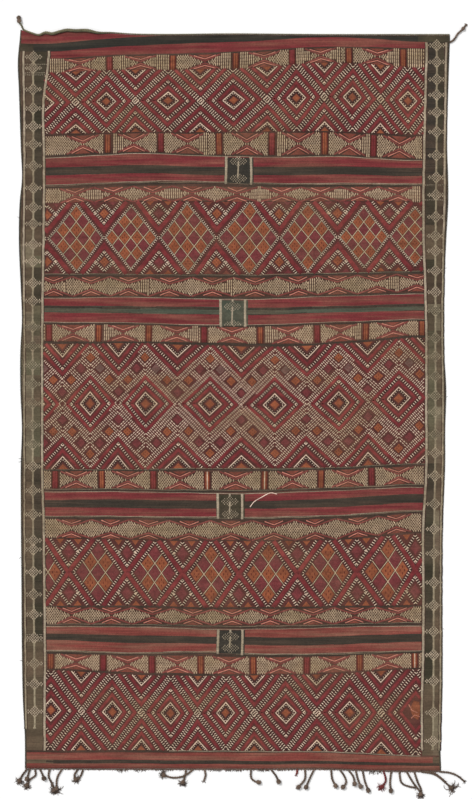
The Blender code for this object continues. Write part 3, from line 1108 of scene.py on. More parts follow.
def block(number, wool, left, right, upper, lower):
    """A dark block that reaches a little below its group of stripes."""
    zone = zone_of(f"group {number}")
    depth = zone.depth
    foot = depth + BLOCK_OVERHANG
    middle = (left + right) / 2
    corners = zone.place([(left - 6, 0), (right + 10, 0), (right + 10, foot), (left - 6, foot)])
    patches.setdefault(wool, []).append((corners, PATCH_RISE))
    for x in (left + 5, right - 5):
        line = zone.place(resample([(x, 1.0), (x, foot - 1.0)], 12.0))
        lay_ribbon("sand", line, BLOCK_LINE, 0.8)
        beaded("oat", line, BLOCK_BEADS)
    ribbon(zone, "sand", [(middle, depth * upper), (middle - 3, depth * lower)], 8.0, 0.6)
    if upper > LOW_STAR:
        ribbon(zone, "sand", [(middle, 2.0), (middle, 14.0)], 9.0, 0.9)
    low_y = zone.place([(middle, foot)])[0][1] + 4
    for share in (upper, lower):
        x, y = zone.place([(middle, depth * share)])[0]
        star(x, y, *BLOCK_STAR, "oat", (left + 11, right - 11, low_y))


# Single shots of weft: length in mm, how far each runs into the next, and how much it swells.
SHOT_LENGTH = (60, 190)
SHOT_OVERLAP = 4
SHOT_SWELL = (0.7, 1.2)


def wavering(zone, wool, v, width, rise, reach=1.2, start=None):
    """A thin line along a zone that wanders up and down and swells, laid in short lengths."""
    x = zone.left if start is None else start
    while x < zone.right:
        length = chance.uniform(*SHOT_LENGTH)
        place = v + chance.uniform(-reach, reach)
        end = (min(x + length, zone.right), place + chance.uniform(-1, 1) * reach / 2)
        ribbon(zone, wool, [(x, place), end], width * chance.uniform(*SHOT_SWELL), rise)
        x += length - SHOT_OVERLAP


def dark_stripe_edges():
    """Stray shots of dark weft that make the edges of the dark stripes uneven."""
    for number in (1, 3, 4):
        zone = zone_of(f"group {number} dark")
        for v in (0.5, zone.depth - 0.5):
            wavering(zone, "black", v, 3.6, 0.06, 1.6)
    zone = zone_of("group 2 dark")
    wavering(zone, "black", 5.0, 11.0, 0.2)
    wavering(zone, "black", zone.depth - 0.5, 4.0, 0.06, 2.0)
    zone = zone_of("last dark")
    wavering(zone, "black", zone.depth * 0.45, 9.0, 0.2)


# Every seam runs to the next woven line, and dark threads lie in all but three of them.
PLAIN_SEAMS = ("strip 7 foot", "strip 9 foot", "band 5 foot")
SEAMS = [(row[0], following[0]) for row, following in zip(LINES, LINES[1:])
         if row[1] == "seam" and row[0] not in PLAIN_SEAMS]
NARROW_SEAM = 11.0
PALE_SEAM_START = -290.0


def seam_lines():
    """Dark threads in each seam, and a thin pale one where plain stripes meet brocaded fields."""
    for top, foot in SEAMS:
        zone = Zone(top, foot)
        wool = "dark" if top == "band 1 foot" else "black"
        wavering(zone, wool, zone.depth * 0.5, min(zone.depth * 0.45, 5.0), BED_RISE)
        if zone.depth > NARROW_SEAM:
            wavering(zone, "straw", zone.depth * 0.2, 1.8, BED_RISE)
    for top, foot in (("strip 1 top", "band 1 top"), ("strip 3 top", "band 2 top")):
        zone = Zone(top, foot)
        wavering(zone, "dark", zone.depth - 1.5, 4.0, BED_RISE)
    for number in (1, 2, 3, 4):
        zone = zone_of(f"group {number}")
        for v in (0.6, zone.depth - 0.6):
            wavering(zone, "sand", v, 2.4, 0.3, 0.4)
    wavering(Zone("band 5 foot", "last red top"), "sand", 3.0, 2.6, 0.3, 0.8, PALE_SEAM_START)


def selvedges():
    """The turns of the weft round the outermost warps, down both sides."""
    for side, turn in ((0, 1), (1, -1)):
        ys = np.arange(*SELVEDGE_RUN, -SELVEDGE_PITCH)
        ys = ys + jitter(ys.shape, 0.6)
        outer = np.stack([side_x(side, ys) - turn * 0.4, ys], axis=-1)
        inner = outer + np.array([turn * SELVEDGE * 1.5, -1.2])
        add_floats("edge", outer, inner, 4.4)


def brocade():
    band_of_nested_diamonds(1)
    band_of_nested_diamonds(5)
    band_of_lattices(2)
    band_of_lattices(4)
    band_of_meshed_diamonds(3)
    for number in STRIPS:
        dotted_strip(number)
    borders()
    for row in BLOCKS:
        block(*row)
    seam_lines()
    dark_stripe_edges()
    selvedges()


# Meshes. The brocaded fields are thicker than the plain stripes: (first line, last line).
FIELD_LINES = (
    ("strip 1 top", "strip 2 foot"),
    ("strip 3 top", "strip 4 foot"),
    ("strip 5 top", "strip 6 foot"),
    ("strip 7 top", "strip 8 foot"),
    ("strip 9 top", "band 5 foot"),
)
FIELD_SLOPE = 4.0


def cloth_top(x, y):
    """Height of the woven ground in mm."""
    inside = np.zeros(np.shape(x))
    for first, last in FIELD_LINES:
        depth = np.minimum(line_y(first, x) - y, y - line_y(last, x))
        inside = np.maximum(inside, np.clip(depth / FIELD_SLOPE, 0, 1))
    return PLAIN_TOP + (BROCADE_TOP - PLAIN_TOP) * inside


def mesh_object(name, verts, faces, materials, face_material=None, smooth_shade=True):
    """A piece from vertices in mm and faces, given by the indices of their corners."""
    mesh = bpy.data.meshes.new(name)
    verts = np.asarray(verts, np.float32) * MM
    sizes = np.array([len(face) for face in faces], np.int32)
    corners = np.concatenate([np.asarray(face, np.int32) for face in faces])
    mesh.vertices.add(len(verts))
    mesh.vertices.foreach_set("co", verts.ravel())
    mesh.loops.add(len(corners))
    mesh.loops.foreach_set("vertex_index", corners)
    mesh.polygons.add(len(sizes))
    mesh.polygons.foreach_set("loop_start", np.concatenate([[0], np.cumsum(sizes)[:-1]]).astype(np.int32))
    mesh.polygons.foreach_set("use_smooth", np.full(len(sizes), smooth_shade))
    for material in materials:
        mesh.materials.append(material)
    if face_material is not None:
        mesh.polygons.foreach_set("material_index", np.asarray(face_material, np.int32))
    mesh.update(calc_edges=True)
    mesh.validate()
    plan_uv(mesh)
    obj = bpy.data.objects.new(name, mesh)
    bpy.context.scene.collection.objects.link(obj)
    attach(obj, "root")
    return obj


def plan_uv(mesh):
    """A map of the rug seen from above, so that a baked texture lies on it as cloth does."""
    layer = mesh.uv_layers.new(name="OFBake")
    points = np.empty(len(mesh.vertices) * 3, np.float32)
    mesh.vertices.foreach_get("co", points)
    points = points.reshape(-1, 3)[:, :2]
    low, size = points.min(axis=0), float(np.ptp(points, axis=0).max())
    index = np.empty(len(mesh.loops), np.int32)
    mesh.loops.foreach_get("vertex_index", index)
    layer.data.foreach_set("uv", ((points - low) / size * 0.98 + 0.01)[index].ravel())


LEAST_MITRE = 0.45
PATCH_CROWN = 0.8

# Faces of a float, from the four corners of its base and the two ends of its crest.
FLOAT_FACES = ((0, 1, 5, 4), (2, 3, 4, 5), (1, 2, 5), (3, 0, 4), (3, 2, 1, 0))


def build_floats(name, groups, material):
    """Every float of a wool: a low rounded ridge between its two ends."""
    starts = np.concatenate([group[0] for group in groups])
    ends = np.concatenate([group[1] for group in groups])
    widths = np.concatenate([group[2] for group in groups])
    along = ends - starts
    length = np.linalg.norm(along, axis=1, keepdims=True)
    along = along / length
    side = np.stack([-along[:, 1], along[:, 0]], axis=-1) * widths[:, None] / 2
    ground = cloth_top(starts[:, 0], starts[:, 1])
    rise = FLOAT_RISE * (1 + jitter(len(starts), 0.12))
    inset = np.minimum(length * 0.22, widths[:, None] * 0.5)
    crest = along * inset
    plan = [starts + side, ends + side, ends - side, starts - side, starts + crest, ends - crest]
    heights = [ground - SINK] * 4 + [ground + rise] * 2
    verts = np.stack([np.column_stack([p, h]) for p, h in zip(plan, heights)], axis=1).reshape(-1, 3)
    base = np.arange(len(starts)) * 6
    faces = []
    for face in FLOAT_FACES:
        faces.extend((base[:, None] + np.array(face[::-1])).tolist())
    return mesh_object(name, verts, faces, [material])


def ribbon_rings(points, width, rise):
    """Four corners of each section of a ribbon, mitred where the path bends."""
    legs = np.diff(points, axis=0)
    legs = legs / np.linalg.norm(legs, axis=1, keepdims=True)
    before = np.vstack([legs[:1], legs])
    after = np.vstack([legs, legs[-1:]])
    bisector = before + after
    bisector = bisector / np.maximum(np.linalg.norm(bisector, axis=1, keepdims=True), 1e-6)
    normal = np.stack([-bisector[:, 1], bisector[:, 0]], axis=-1)
    square = np.stack([-before[:, 1], before[:, 0]], axis=-1)
    lean = np.clip(np.abs(np.sum(normal * square, axis=1)), LEAST_MITRE, 1)
    half = normal * (width / 2 / lean)[:, None]
    ground = cloth_top(points[:, 0], points[:, 1])
    low, high = ground - SINK, ground + rise
    section = ((1, low), (0.66, high), (-0.66, high), (-1, low))
    return np.stack([np.column_stack([points + half * scale, height]) for scale, height in section],
                    axis=1)


def build_ribbons(name, runs, material):
    verts, faces = [], []
    count = 0
    for points, width, rise in runs:
        rings = ribbon_rings(points, width, rise)
        for i in range(len(points) - 1):
            a, b = count + i * 4, count + i * 4 + 4
            faces.extend((a + k, a + (k + 1) % 4, b + (k + 1) % 4, b + k) for k in range(4))
        last = count + (len(points) - 1) * 4
        faces.append((count + 3, count + 2, count + 1, count))
        faces.append((last, last + 1, last + 2, last + 3))
        verts.append(rings.reshape(-1, 3))
        count += len(points) * 4
    return mesh_object(name, np.concatenate(verts), faces, [material])


def build_patches(name, outlines, material):
    """Filled shapes with a bevelled rim, each a closed cushion of floats."""
    verts, faces = [], []
    count = 0
    for outline, rise in outlines:
        middle = outline.mean(axis=0)
        size = len(outline)
        ground = float(cloth_top(middle[0], middle[1]))
        spin = np.cross(outline[1] - outline[0], outline[2] - outline[1])
        outline = outline if spin > 0 else outline[::-1]
        inner = middle + (outline - middle) * PATCH_CROWN
        verts.append(np.column_stack([outline, np.full(size, ground - SINK)]))
        verts.append(np.column_stack([inner, np.full(size, ground + rise)]))
        for k in range(size):
            following = (k + 1) % size
            faces.append((count + k, count + following, count + size + following, count + size + k))
        faces.append(tuple(range(count + size, count + 2 * size)))
        faces.append(tuple(range(count + size - 1, count - 1, -1)))
        count += 2 * size
    return mesh_object(name, np.concatenate(verts), faces, [material], smooth_shade=False)


# Materials.

def linear(colour):
    """Linear light of a colour given as it is seen, from 0 to 255."""
    shares = [c / 255 for c in colour]
    return [s / 12.92 if s <= 0.04045 else ((s + 0.055) / 1.055) ** 2.4 for s in shares]


def add_node(tree, kind, inputs=(), **settings):
    """A shader node, with each named or numbered input set to a value or linked to a socket."""
    node = tree.nodes.new(kind)
    for name, value in settings.items():
        setattr(node, name, value)
    for key, value in dict(inputs).items():
        if isinstance(value, bpy.types.NodeSocket):
            tree.links.new(value, node.inputs[key])
        else:
            node.inputs[key].default_value = value
    return node


def noise(tree, coords, scale, stretch=(1, 1, 1), detail=3.0):
    mapping = add_node(tree, "ShaderNodeMapping", {"Vector": coords, "Scale": stretch})
    looks = {"Vector": mapping.outputs["Vector"], "Scale": scale, "Detail": detail, "Roughness": 0.55}
    return add_node(tree, "ShaderNodeTexNoise", looks).outputs["Fac"]


def ramped(tree, value, low, high, to_low, to_high):
    looks = {"Value": value, "From Min": low, "From Max": high, "To Min": to_low, "To Max": to_high}
    return add_node(tree, "ShaderNodeMapRange", looks).outputs["Result"]


WAVES_PER_SCALE = 3.18
MATT = {"Roughness": 0.93, "Specular IOR Level": 0.18, "Sheen Weight": 0.10, "Sheen Roughness": 0.5}


def wool(name, streak=0.16, blotch=0.10, grain=0.22, spun=0.0, rib=0.0, threads=0.0, rows=14.0, lots=2.2):
    """Dyed wool: it fades in blotches, its dye lots streak along the weft, and its fibre is uneven."""
    colour, faded = (linear(shade) for shade in WOOLS[name])
    material = bpy.data.materials.new(f"wool_{name}")
    material.use_nodes = True
    tree = material.node_tree
    coords = add_node(tree, "ShaderNodeTexCoord").outputs["Object"]
    fading = ramped(tree, noise(tree, coords, 3.2, (1.0, lots, 1)), 0.42, 0.62, 0, 1)
    dyes = {"A": (*colour, 1), "B": (*faded, 1), "Factor": fading}
    mix = add_node(tree, "ShaderNodeMix", dyes, data_type="RGBA")
    fine = noise(tree, coords, 190.0, detail=2.0)
    swings = [(noise(tree, coords, 4.0, (0.5, rows, 1)), streak), (noise(tree, coords, 14.0), blotch)]
    if threads:
        swings.append((noise(tree, coords, 4.0, (1.3, 56, 1), 2.0), threads))
    swings.append((fine, grain))
    if spun:
        swings.append((noise(tree, coords, 42.0, detail=2.0), spun))
    value = 1.0
    for source, amount in swings:
        factors = {0: value, 1: ramped(tree, source, 0.3, 0.7, 1 - amount, 1 + amount)}
        value = add_node(tree, "ShaderNodeMath", factors, operation="MULTIPLY").outputs["Value"]
    shades = {0: mix.outputs["Result"], "Scale": value}
    scaled = add_node(tree, "ShaderNodeVectorMath", shades, operation="SCALE")
    shader = tree.nodes["Principled BSDF"]
    for key, amount in MATT.items():
        shader.inputs[key].default_value = amount
    tree.links.new(scaled.outputs["Vector"], shader.inputs["Base Color"])
    tree.links.new(bumps(tree, coords, fine, rib), shader.inputs["Normal"])
    return material


def bumps(tree, coords, fine, rib):
    """Fibre, and on the ground also the ribs of the warp, rib mm apart."""
    looks = {"Strength": 0.5, "Distance": 0.6 * MM, "Height": fine}
    fibre = add_node(tree, "ShaderNodeBump", looks).outputs["Normal"]
    if not rib:
        return fibre
    looks = {"Vector": coords, "Scale": 1 / (rib * MM * WAVES_PER_SCALE), "Distortion": 1.2, "Detail": 1.0}
    wave = add_node(tree, "ShaderNodeTexWave", looks, bands_direction="X")
    looks = {"Strength": 0.6, "Distance": 0.5 * MM, "Height": wave.outputs["Fac"], "Normal": fibre}
    return add_node(tree, "ShaderNodeBump", looks).outputs["Normal"]


PLAIN_WOOLS = ("red", "brick", "night", "black", "grey", "seam")
BORDER_WOOLS = ("bark", "umber", "olive", "moss", "sage")
GROUND_WOOLS = (*PLAIN_WOOLS, *BORDER_WOOLS, "strip", "pale strip", "band", "edge")


def ground_materials():
    """The border wools come in broad lots, and the plain stripes show single shots of weft."""
    made = []
    for name in GROUND_WOOLS:
        streak, rows = (0.30, 5.0) if name in BORDER_WOOLS else (0.15, 14.0)
        threads = 0.24 if name in PLAIN_WOOLS else 0.18
        lots = 14.0 if name in PLAIN_WOOLS else 2.2
        made.append(wool(name, streak, grain=0.16, rib=4.2, threads=threads, rows=rows, lots=lots))
    return made


# Where the plain end stripes fade: (wool, low y, high y, low x, high x, wool there), in mm.
FADED_ENDS = (
    ("night", 1400, 1600, -900, -840, "olive"),
    ("night", 1400, 1600, 690, 900, "edge"),
    ("black", -1450, -1360, -900, -780, "umber"),
    ("brick", -1408, -1360, 746, 900, "umber"),
)


def end_wool(name, x, y):
    """Wool of a plain stripe at a place, which is browner near some of its ends."""
    for faded, low_y, high_y, low_x, high_x, other in FADED_ENDS:
        if name == faded and low_y < y < high_y and low_x < x < high_x:
            return other
    return name


# The woven ground.

def ground_lines():
    """The cloth's lines from its top edge down, as (y at x, wool below)."""
    lines = [(lambda x: cloth_end_y(0, x), "red")]
    lines += [((lambda x, n=row[0]: line_y(n, x)), row[1]) for row in LINES]
    lines.append((lambda x: cloth_end_y(1, x), None))
    return lines


def ground_rows():
    """Rows of the ground: (upper line, lower line, share between them, wool, inside the borders)."""
    lines = ground_lines()
    names = [None] + [row[0] for row in LINES]
    rows = []
    bordered = False
    for index in range(len(lines) - 1):
        bordered = bordered or names[index] == FIRST_BORDER_LINE
        bordered = bordered and names[index] != LAST_BORDER_LINE
        top, foot = lines[index][0], lines[index + 1][0]
        count = max(1, round(float(top(0.0) - foot(0.0)) / ROW_STEP))
        rows.extend((top, foot, k / count, lines[index][1], bordered) for k in range(count))
    rows.append((lines[-2][0], lines[-1][0], 1.0, None, False))
    return rows


def ground_columns():
    """Columns of the ground: (x at y, wool to the right of it inside the borders)."""
    columns = [
        (lambda y: side_x(0, y), "edge"),
        (lambda y: side_x(0, y) + SELVEDGE, "left outer half"),
        (lambda y: border_x("left spine", y), "left inner half"),
    ]
    for k in range(FIELD_COLUMNS + 1):
        share = k / FIELD_COLUMNS
        wool_right = None if k < FIELD_COLUMNS else "right inner half"
        columns.append((lambda y, s=share: field_x(y, s), wool_right))
    columns.append((lambda y: border_x("right spine", y), "right outer half"))
    columns.append((lambda y: side_x(1, y) - SELVEDGE, "edge"))
    columns.append((lambda y: side_x(1, y), None))
    return columns


def field_x(y, share):
    left, right = border_x("left inner", y), border_x("right inner", y)
    return left + (right - left) * share


def ground_plan(rows, columns):
    """World x and y of every crossing of a row and a column."""
    level = [float(top(0.0) + (foot(0.0) - top(0.0)) * share) for top, foot, share, *_ in rows]
    y = np.repeat(np.array(level)[:, None], len(columns), axis=1)
    for _ in range(3):
        x = np.stack([column[0](y[:, c]) for c, column in enumerate(columns)], axis=1)
        y = np.stack([top(x[r]) + (foot(x[r]) - top(x[r])) * share
                      for r, (top, foot, share, *_) in enumerate(rows)])
    return np.stack([x, y], axis=-1)


def ground_wool(rows, columns, plan, r, c):
    """Wool of the ground between a row, a column and the next ones."""
    inner = columns[c][1] if rows[r][4] else None
    if inner in HALVES:
        inner = border_ground(inner, plan[r, c, 1])
    edge = "edge" if c in (0, len(columns) - 2) else None
    return inner or edge or end_wool(rows[r][3], *plan[r, c])


def rim_of(down, across):
    """Indices of the outermost points of a grid, once round."""
    rim = list(range(across))
    rim += [r * across + across - 1 for r in range(1, down)]
    rim += [(down - 1) * across + c for c in range(across - 2, -1, -1)]
    return rim + [r * across for r in range(down - 2, 0, -1)]


def build_ground():
    rows, columns = ground_rows(), ground_columns()
    across = len(columns)
    plan = ground_plan(rows, columns)
    for r in range(1, len(rows)):
        plan[r, :, 1] = np.minimum(plan[r, :, 1], plan[r - 1, :, 1] - LEAST_ROW)
    height = cloth_top(plan[..., 0], plan[..., 1])
    height[:, (0, -1)] = EDGE_TOP
    top = np.concatenate([plan, height[..., None]], axis=-1).reshape(-1, 3)
    total = len(top)
    faces, wools = [], []
    for r in range(len(rows) - 1):
        for c in range(across - 1):
            a = r * across + c
            corners = (a, a + across, a + across + 1, a + 1)
            faces += [corners, tuple(total + k for k in corners[::-1])]
            wools += [ground_wool(rows, columns, plan, r, c)] * 2
    rim = rim_of(len(rows), across)
    for a, b in zip(rim, rim[1:] + rim[:1]):
        faces.append((a, b, total + b, total + a))
        wools.append("edge")
    index = [GROUND_WOOLS.index(name) for name in wools]
    verts = np.concatenate([top, top * (1, 1, 0)])
    cloth = mesh_object("woven_ground", verts, faces, ground_materials(), index)
    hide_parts("cloth")
    return cloth


BROCADE_BUILDERS = (("floats", floats, build_floats), ("ribbons", ribbons, build_ribbons),
                    ("lozenges", patches, build_patches))


def build_brocade():
    brocade()
    pieces = []
    cream = wool("cream", streak=0.10, blotch=0.08, grain=0.20, spun=0.20)
    wheat = wool("wheat", streak=0.10, blotch=0.08, grain=0.20, spun=0.14)
    shared = {"cream": cream, "wheat": wheat, "wheat high": wheat, "wheat low": wheat}
    for name in sorted(set(floats) | set(ribbons) | set(patches)):
        if name not in shared:
            shared[name] = wool(name, spun=0.12)
    for kind, gathered, build in BROCADE_BUILDERS:
        for name, runs in sorted(gathered.items()):
            pieces.append(build(f"{kind}_{name.replace(' ', '_')}", runs, shared[name]))
    return pieces


# Cords and warp ends.

# Warp ends: root x, then the bends as (x, how far below the end row), then how the strand ends.
STRANDS = (
    (-858, ((-880, 28), (-888, 44)), "tuft"),
    (-846, ((-852, 16), (-858, 36)), "knot"),
    (-826, ((-824, 22), (-846, 40), (-858, 62)), "tuft"),
    (-806, ((-790, 34),), "knot"),
    (-766, ((-772, 22), (-754, 66), (-751, 82)), "tuft"),
    (-718, ((-736, 30), (-741, 76)), "mop"),
    (-656, ((-668, 30), (-662, 38)), "tuft"),
    (-634, ((-640, 18), (-656, 42)), "brush"),
    (-194, ((-226, 22), (-280, 30), (-312, 20)), "tuft"),
    (-222, ((-226, 24), (-234, 50)), "tuft"),
    (-148, ((-144, 20), (-150, 42)), "brush"),
    (38, ((40, 34), (56, 46), (68, 48)), "knot"),
    (118, ((140, 28), (148, 46)), "knot"),
    (254, ((253, 36), (228, 68)), "knot"),
    (290, ((270, 40), (258, 68)), "knot"),
    (358, ((364, 40), (376, 62)), "knot"),
    (394, ((413, 28), (418, 50), (406, 66)), "knot"),
    (428, ((448, 28), (452, 52)), "knot"),
    (456, ((467, 40), (476, 62)), "knot"),
    (484, ((494, 44), (506, 76)), "knot"),
    (598, ((594, 50), (597, 74)), "knot"),
    (630, ((643, 46), (664, 56), (692, 62)), "brush"),
    (660, ((686, 42), (712, 76)), "brush"),
    (690, ((706, 44), (718, 74), (716, 88)), "tuft"),
    (718, ((770, 8), (816, 42), (838, 62)), "mop"),
    (760, ((788, 16), (812, 36)), "brush"),
    (792, ((838, 4), (862, 14), (890, 36)), "brush"),
)
RED_STRANDS = (
    (568, ((576, 38), (562, 60)), "tuft"),
    (222, ((222, 10), (220, 16)), "brush"),
)

# Short frayed locks along the end row: (from x, to x, length), in mm.
LOCK_RUNS = (
    (-498, -452, 13),
    (-424, -386, 12),
    (-344, -270, 6),
    (-120, -84, 10),
    (-60, 10, 8),
    (66, 112, 9),
    (150, 200, 6),
    (510, 562, 14),
)
LEFT_TAIL = ((-874, 1516), (-880, 1530), (-888, 1542), (-891, 1562))
RIGHT_TAIL = ((832, 1462), (846, 1470), (866, 1498), (880, 1510), (895, 1528))

# The heading cord's plies swell where it stands up in slack loops: (x, ply radius).
CORD_SWELL = (
    (-874, 2.2), (-820, 2.3), (-780, 3.2), (-700, 3.6), (-600, 3.6), (-540, 2.1), (-300, 1.7), (834, 1.6),
)
CORD_RUN = (-872.0, 834.0)
CORD_STEP = 2.0

# Loose hairs that stand out at the selvedges: (side, y).
WHISKERS = ((0, -202), (0, -214), (0, -596), (0, -1010), (1, 44), (1, 560), (1, -880), (0, 760))

PLY_RADIUS = 2.35
PLY_TWIST = 18.0
STRAND_STEP = 1.6
KNOT_RADIUS = 6.6
KNOT_YARN = 3.0
HAIR_RADIUS = 0.9
HAIR_LENGTH = (7.0, 15.0)
TUFT_LENGTH = (12.0, 26.0)
MOP_LENGTH = (24.0, 44.0)
MOP_LOCKS = 12
MOP_RADIUS = 1.8
LOCK_PITCH = 6.0
FUZZ_PITCH = 6.0
FUZZ_LENGTH = (3.0, 8.0)
FUZZ_RUN = (-862.0, 794.0)
LOCK_HAIRS = (2, 7)
HANG_SPREAD = 0.9
END_ROW_Y = -1446
PLY_NEARNESS = 0.86
KNOT_TURNS = 2.6
KNOT_POINTS = 34
HAIR_CURL = 0.09
HAIR_STEPS = 6


def frame_along(points):
    """Directions to the level right of a path and over it, at each of its points."""
    along = np.gradient(points, axis=0)
    along /= np.maximum(np.linalg.norm(along, axis=1, keepdims=True), 1e-9)
    side = np.stack([along[:, 1], -along[:, 0], np.zeros(len(points))], axis=-1)
    side /= np.maximum(np.linalg.norm(side, axis=1, keepdims=True), 1e-9)
    return side, np.cross(side, along)


class Yarns:
    """Tubes gathered into one mesh, in mm."""

    def __init__(self):
        self.verts = []
        self.faces = []
        self.count = 0

    def tube(self, points, radii, sides=6):
        points = np.asarray(points, float)
        radii = np.broadcast_to(np.asarray(radii, float), (len(points),))
        side, over = frame_along(points)
        turns = (np.arange(sides) * 2 * math.pi / sides)[None, :, None]
        ring_points = np.cos(turns) * side[:, None, :] + np.sin(turns) * over[:, None, :]
        self.verts.append((points[:, None, :] + ring_points * radii[:, None, None]).reshape(-1, 3))
        for i in range(len(points) - 1):
            a, b = self.count + i * sides, self.count + (i + 1) * sides
            for k in range(sides):
                n = (k + 1) % sides
                self.faces.append((a + k, b + k, b + n, a + n))
        last = self.count + (len(points) - 1) * sides
        self.faces.append(tuple(range(self.count, self.count + sides)))
        self.faces.append(tuple(range(last + sides - 1, last - 1, -1)))
        self.count += len(points) * sides

    def plied(self, points, radius, twist, sides=6):
        """Two yarns twisted round each other along a path of close, even points."""
        points = np.asarray(points, float)
        lengths = lengths_along(points)
        side, over = frame_along(points)
        radii = np.broadcast_to(np.asarray(radius, float), (len(points),))
        for phase in (0.0, math.pi):
            turn = (lengths / twist * 2 * math.pi + phase)[:, None]
            offset = (np.sin(turn) * over - np.cos(turn) * side) * radii[:, None] * PLY_NEARNESS
            self.tube(points + offset, radii, sides)

    def knot(self, place, along, radius, yarn):
        """A few tight turns of yarn round the strand."""
        turns = np.linspace(0, KNOT_TURNS * 2 * math.pi, KNOT_POINTS)
        side = np.array([-along[1], along[0], 0.0])
        up = np.array([0.0, 0.0, 1.0])
        shares = np.linspace(-1, 1, KNOT_POINTS)
        run = shares[:, None] * yarn * 1.7
        swell = (radius * (0.75 + 0.25 * np.cos(shares * math.pi / 2)))[:, None]
        points = place + along * run + (np.cos(turns)[:, None] * side + np.sin(turns)[:, None] * up) * swell
        points[:, 2] = np.maximum(points[:, 2], yarn)
        self.tube(points, yarn, 6)

    def hair(self, start, heading, length, radius=HAIR_RADIUS):
        """One loose fibre bundle that curls away and lies on the floor."""
        curl = chance.uniform(-HAIR_CURL, HAIR_CURL)
        points = [np.array(start, float)]
        angle = heading
        step = length / HAIR_STEPS
        for _ in range(HAIR_STEPS):
            angle += curl * step
            move = np.array([math.cos(angle), math.sin(angle), 0.0]) * step
            following = points[-1] + move
            following[2] = max(radius, points[-1][2] * 0.62)
            points.append(following)
        self.tube(points, np.linspace(radius, radius * 0.4, HAIR_STEPS + 1), 4)

    def brush(self, start, heading, count, spread, lengths=HAIR_LENGTH):
        for _ in range(count):
            turned = heading + chance.uniform(-spread, spread)
            self.hair(start, turned, chance.uniform(*lengths))

    def build(self, name, wool_name, spun, slot):
        """One piece of these yarns, of a spun wool; the slot that it is given is not used."""
        piece = mesh_object(name, np.concatenate(self.verts), self.faces, [wool(wool_name, spun=spun)])
        return piece


def lengths_along(points):
    steps = np.linalg.norm(np.diff(points, axis=0), axis=1)
    return np.concatenate([[0], np.cumsum(steps)])


def smooth_path(ties, step):
    """Close points on a smooth curve through a few (x, y)."""
    ties = np.array(ties, float)
    lengths = lengths_along(ties)
    marks = np.linspace(0, lengths[-1], max(4, round(lengths[-1] / step)) + 1)
    return np.column_stack([smooth(lengths, ties[:, 0], marks), smooth(lengths, ties[:, 1], marks)])


def strand_points(root_x, bends):
    root_y = float(end_y(1, root_x))
    plan = smooth_path([(root_x, root_y + 2.0)] + [(x, root_y - drop) for x, drop in bends], STRAND_STEP)
    return np.column_stack([plan, np.full(len(plan), PLY_RADIUS * 1.9)])


def row_root(x, aside):
    """A place on the end row's outer edge, up to this far aside of x."""
    return x + chance.uniform(-aside, aside), float(end_y(1, x)) + 1.0, 1.4


def downwards():
    return -math.pi / 2 + chance.uniform(-HANG_SPREAD, HANG_SPREAD)


def build_end_fringe():
    """The twined end row and its strands, then their dark frayed ends and the red ones, apart."""
    yarns, frays, reds = Yarns(), Yarns(), Yarns()
    left, right = (float(side_x(side, END_ROW_Y)) for side in (0, 1))
    xs = np.arange(left + 1, right - 1, 1.7)
    row = np.column_stack([xs, end_y(1, xs) + END_ROW_WIDTH / 2, np.full(len(xs), 2.6)])
    yarns.plied(row, 1.35, 8.5, 5)
    for strand in STRANDS:
        add_strand(yarns, frays, *strand)
    for strand in RED_STRANDS:
        add_strand(reds, reds, *strand)
    for start, stop, drop in LOCK_RUNS:
        for x in np.arange(start, stop, LOCK_PITCH):
            root = row_root(x, 3)
            for _ in range(chance.randint(*LOCK_HAIRS)):
                length = drop * chance.uniform(0.4, 1.3)
                frays.hair(root, downwards(), length)
    for x in np.arange(*FUZZ_RUN, FUZZ_PITCH):
        reds.hair(row_root(x, 4), downwards(), chance.uniform(*FUZZ_LENGTH), 0.8)
    add_whiskers(frays)
    fringe = yarns.build("warp_ends", "ends", 0.3, "fringe_wool")
    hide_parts("end_fringe")
    frayed = frays.build("frayed_ends", "fray", 0.25, "fringe_wool")
    return [fringe, frayed, reds.build("red_ends", "crimson", 0.25, "fringe_wool")]


def add_strand(yarns, frays, root_x, bends, finish):
    points = strand_points(root_x, bends)
    yarns.plied(points, PLY_RADIUS, PLY_TWIST)
    add_fuzz(yarns, points)
    last = points[-1] - points[-3]
    heading = math.atan2(last[1], last[0])
    if finish == "brush":
        frays.brush(points[-2], heading, 16, 0.6)
        return
    along = np.array([math.cos(heading), math.sin(heading), 0.0])
    place = points[-2] * (1, 1, 0) + (0, 0, KNOT_RADIUS + KNOT_YARN * 0.6)
    yarns.knot(place, along, KNOT_RADIUS, KNOT_YARN)
    if finish == "knot":
        yarns.knot(place + along * 4.0, along, KNOT_RADIUS * 0.8, KNOT_YARN)
        frays.brush(place + along * 2.0, heading, 26, 1.2, (8.0, 14.0))
        return
    frays.brush(place, heading, 60, 1.3, TUFT_LENGTH)
    frays.brush(place, heading + math.pi, 14, 1.0, (8.0, 13.0))
    if finish == "mop":
        for _ in range(MOP_LOCKS):
            frays.hair(place, heading + chance.uniform(-1.3, 1.3), chance.uniform(*MOP_LENGTH), MOP_RADIUS)


def add_fuzz(yarns, points):
    """Short fibres that stand off a worn strand."""
    for start, following in zip(points[2:], points[3:]):
        along = math.atan2(following[1] - start[1], following[0] - start[0])
        lean = chance.choice((-1, 1)) * chance.uniform(0.5, 1.3)
        yarns.hair(start, along + lean, chance.uniform(4.0, 8.0), 0.4)


def add_whiskers(yarns):
    for side, y in WHISKERS:
        heading = chance.uniform(-0.5, 0.5) + (0 if side else math.pi)
        yarns.hair((float(side_x(side, y)), y, 1.2), heading, chance.uniform(7, 15), 0.7)


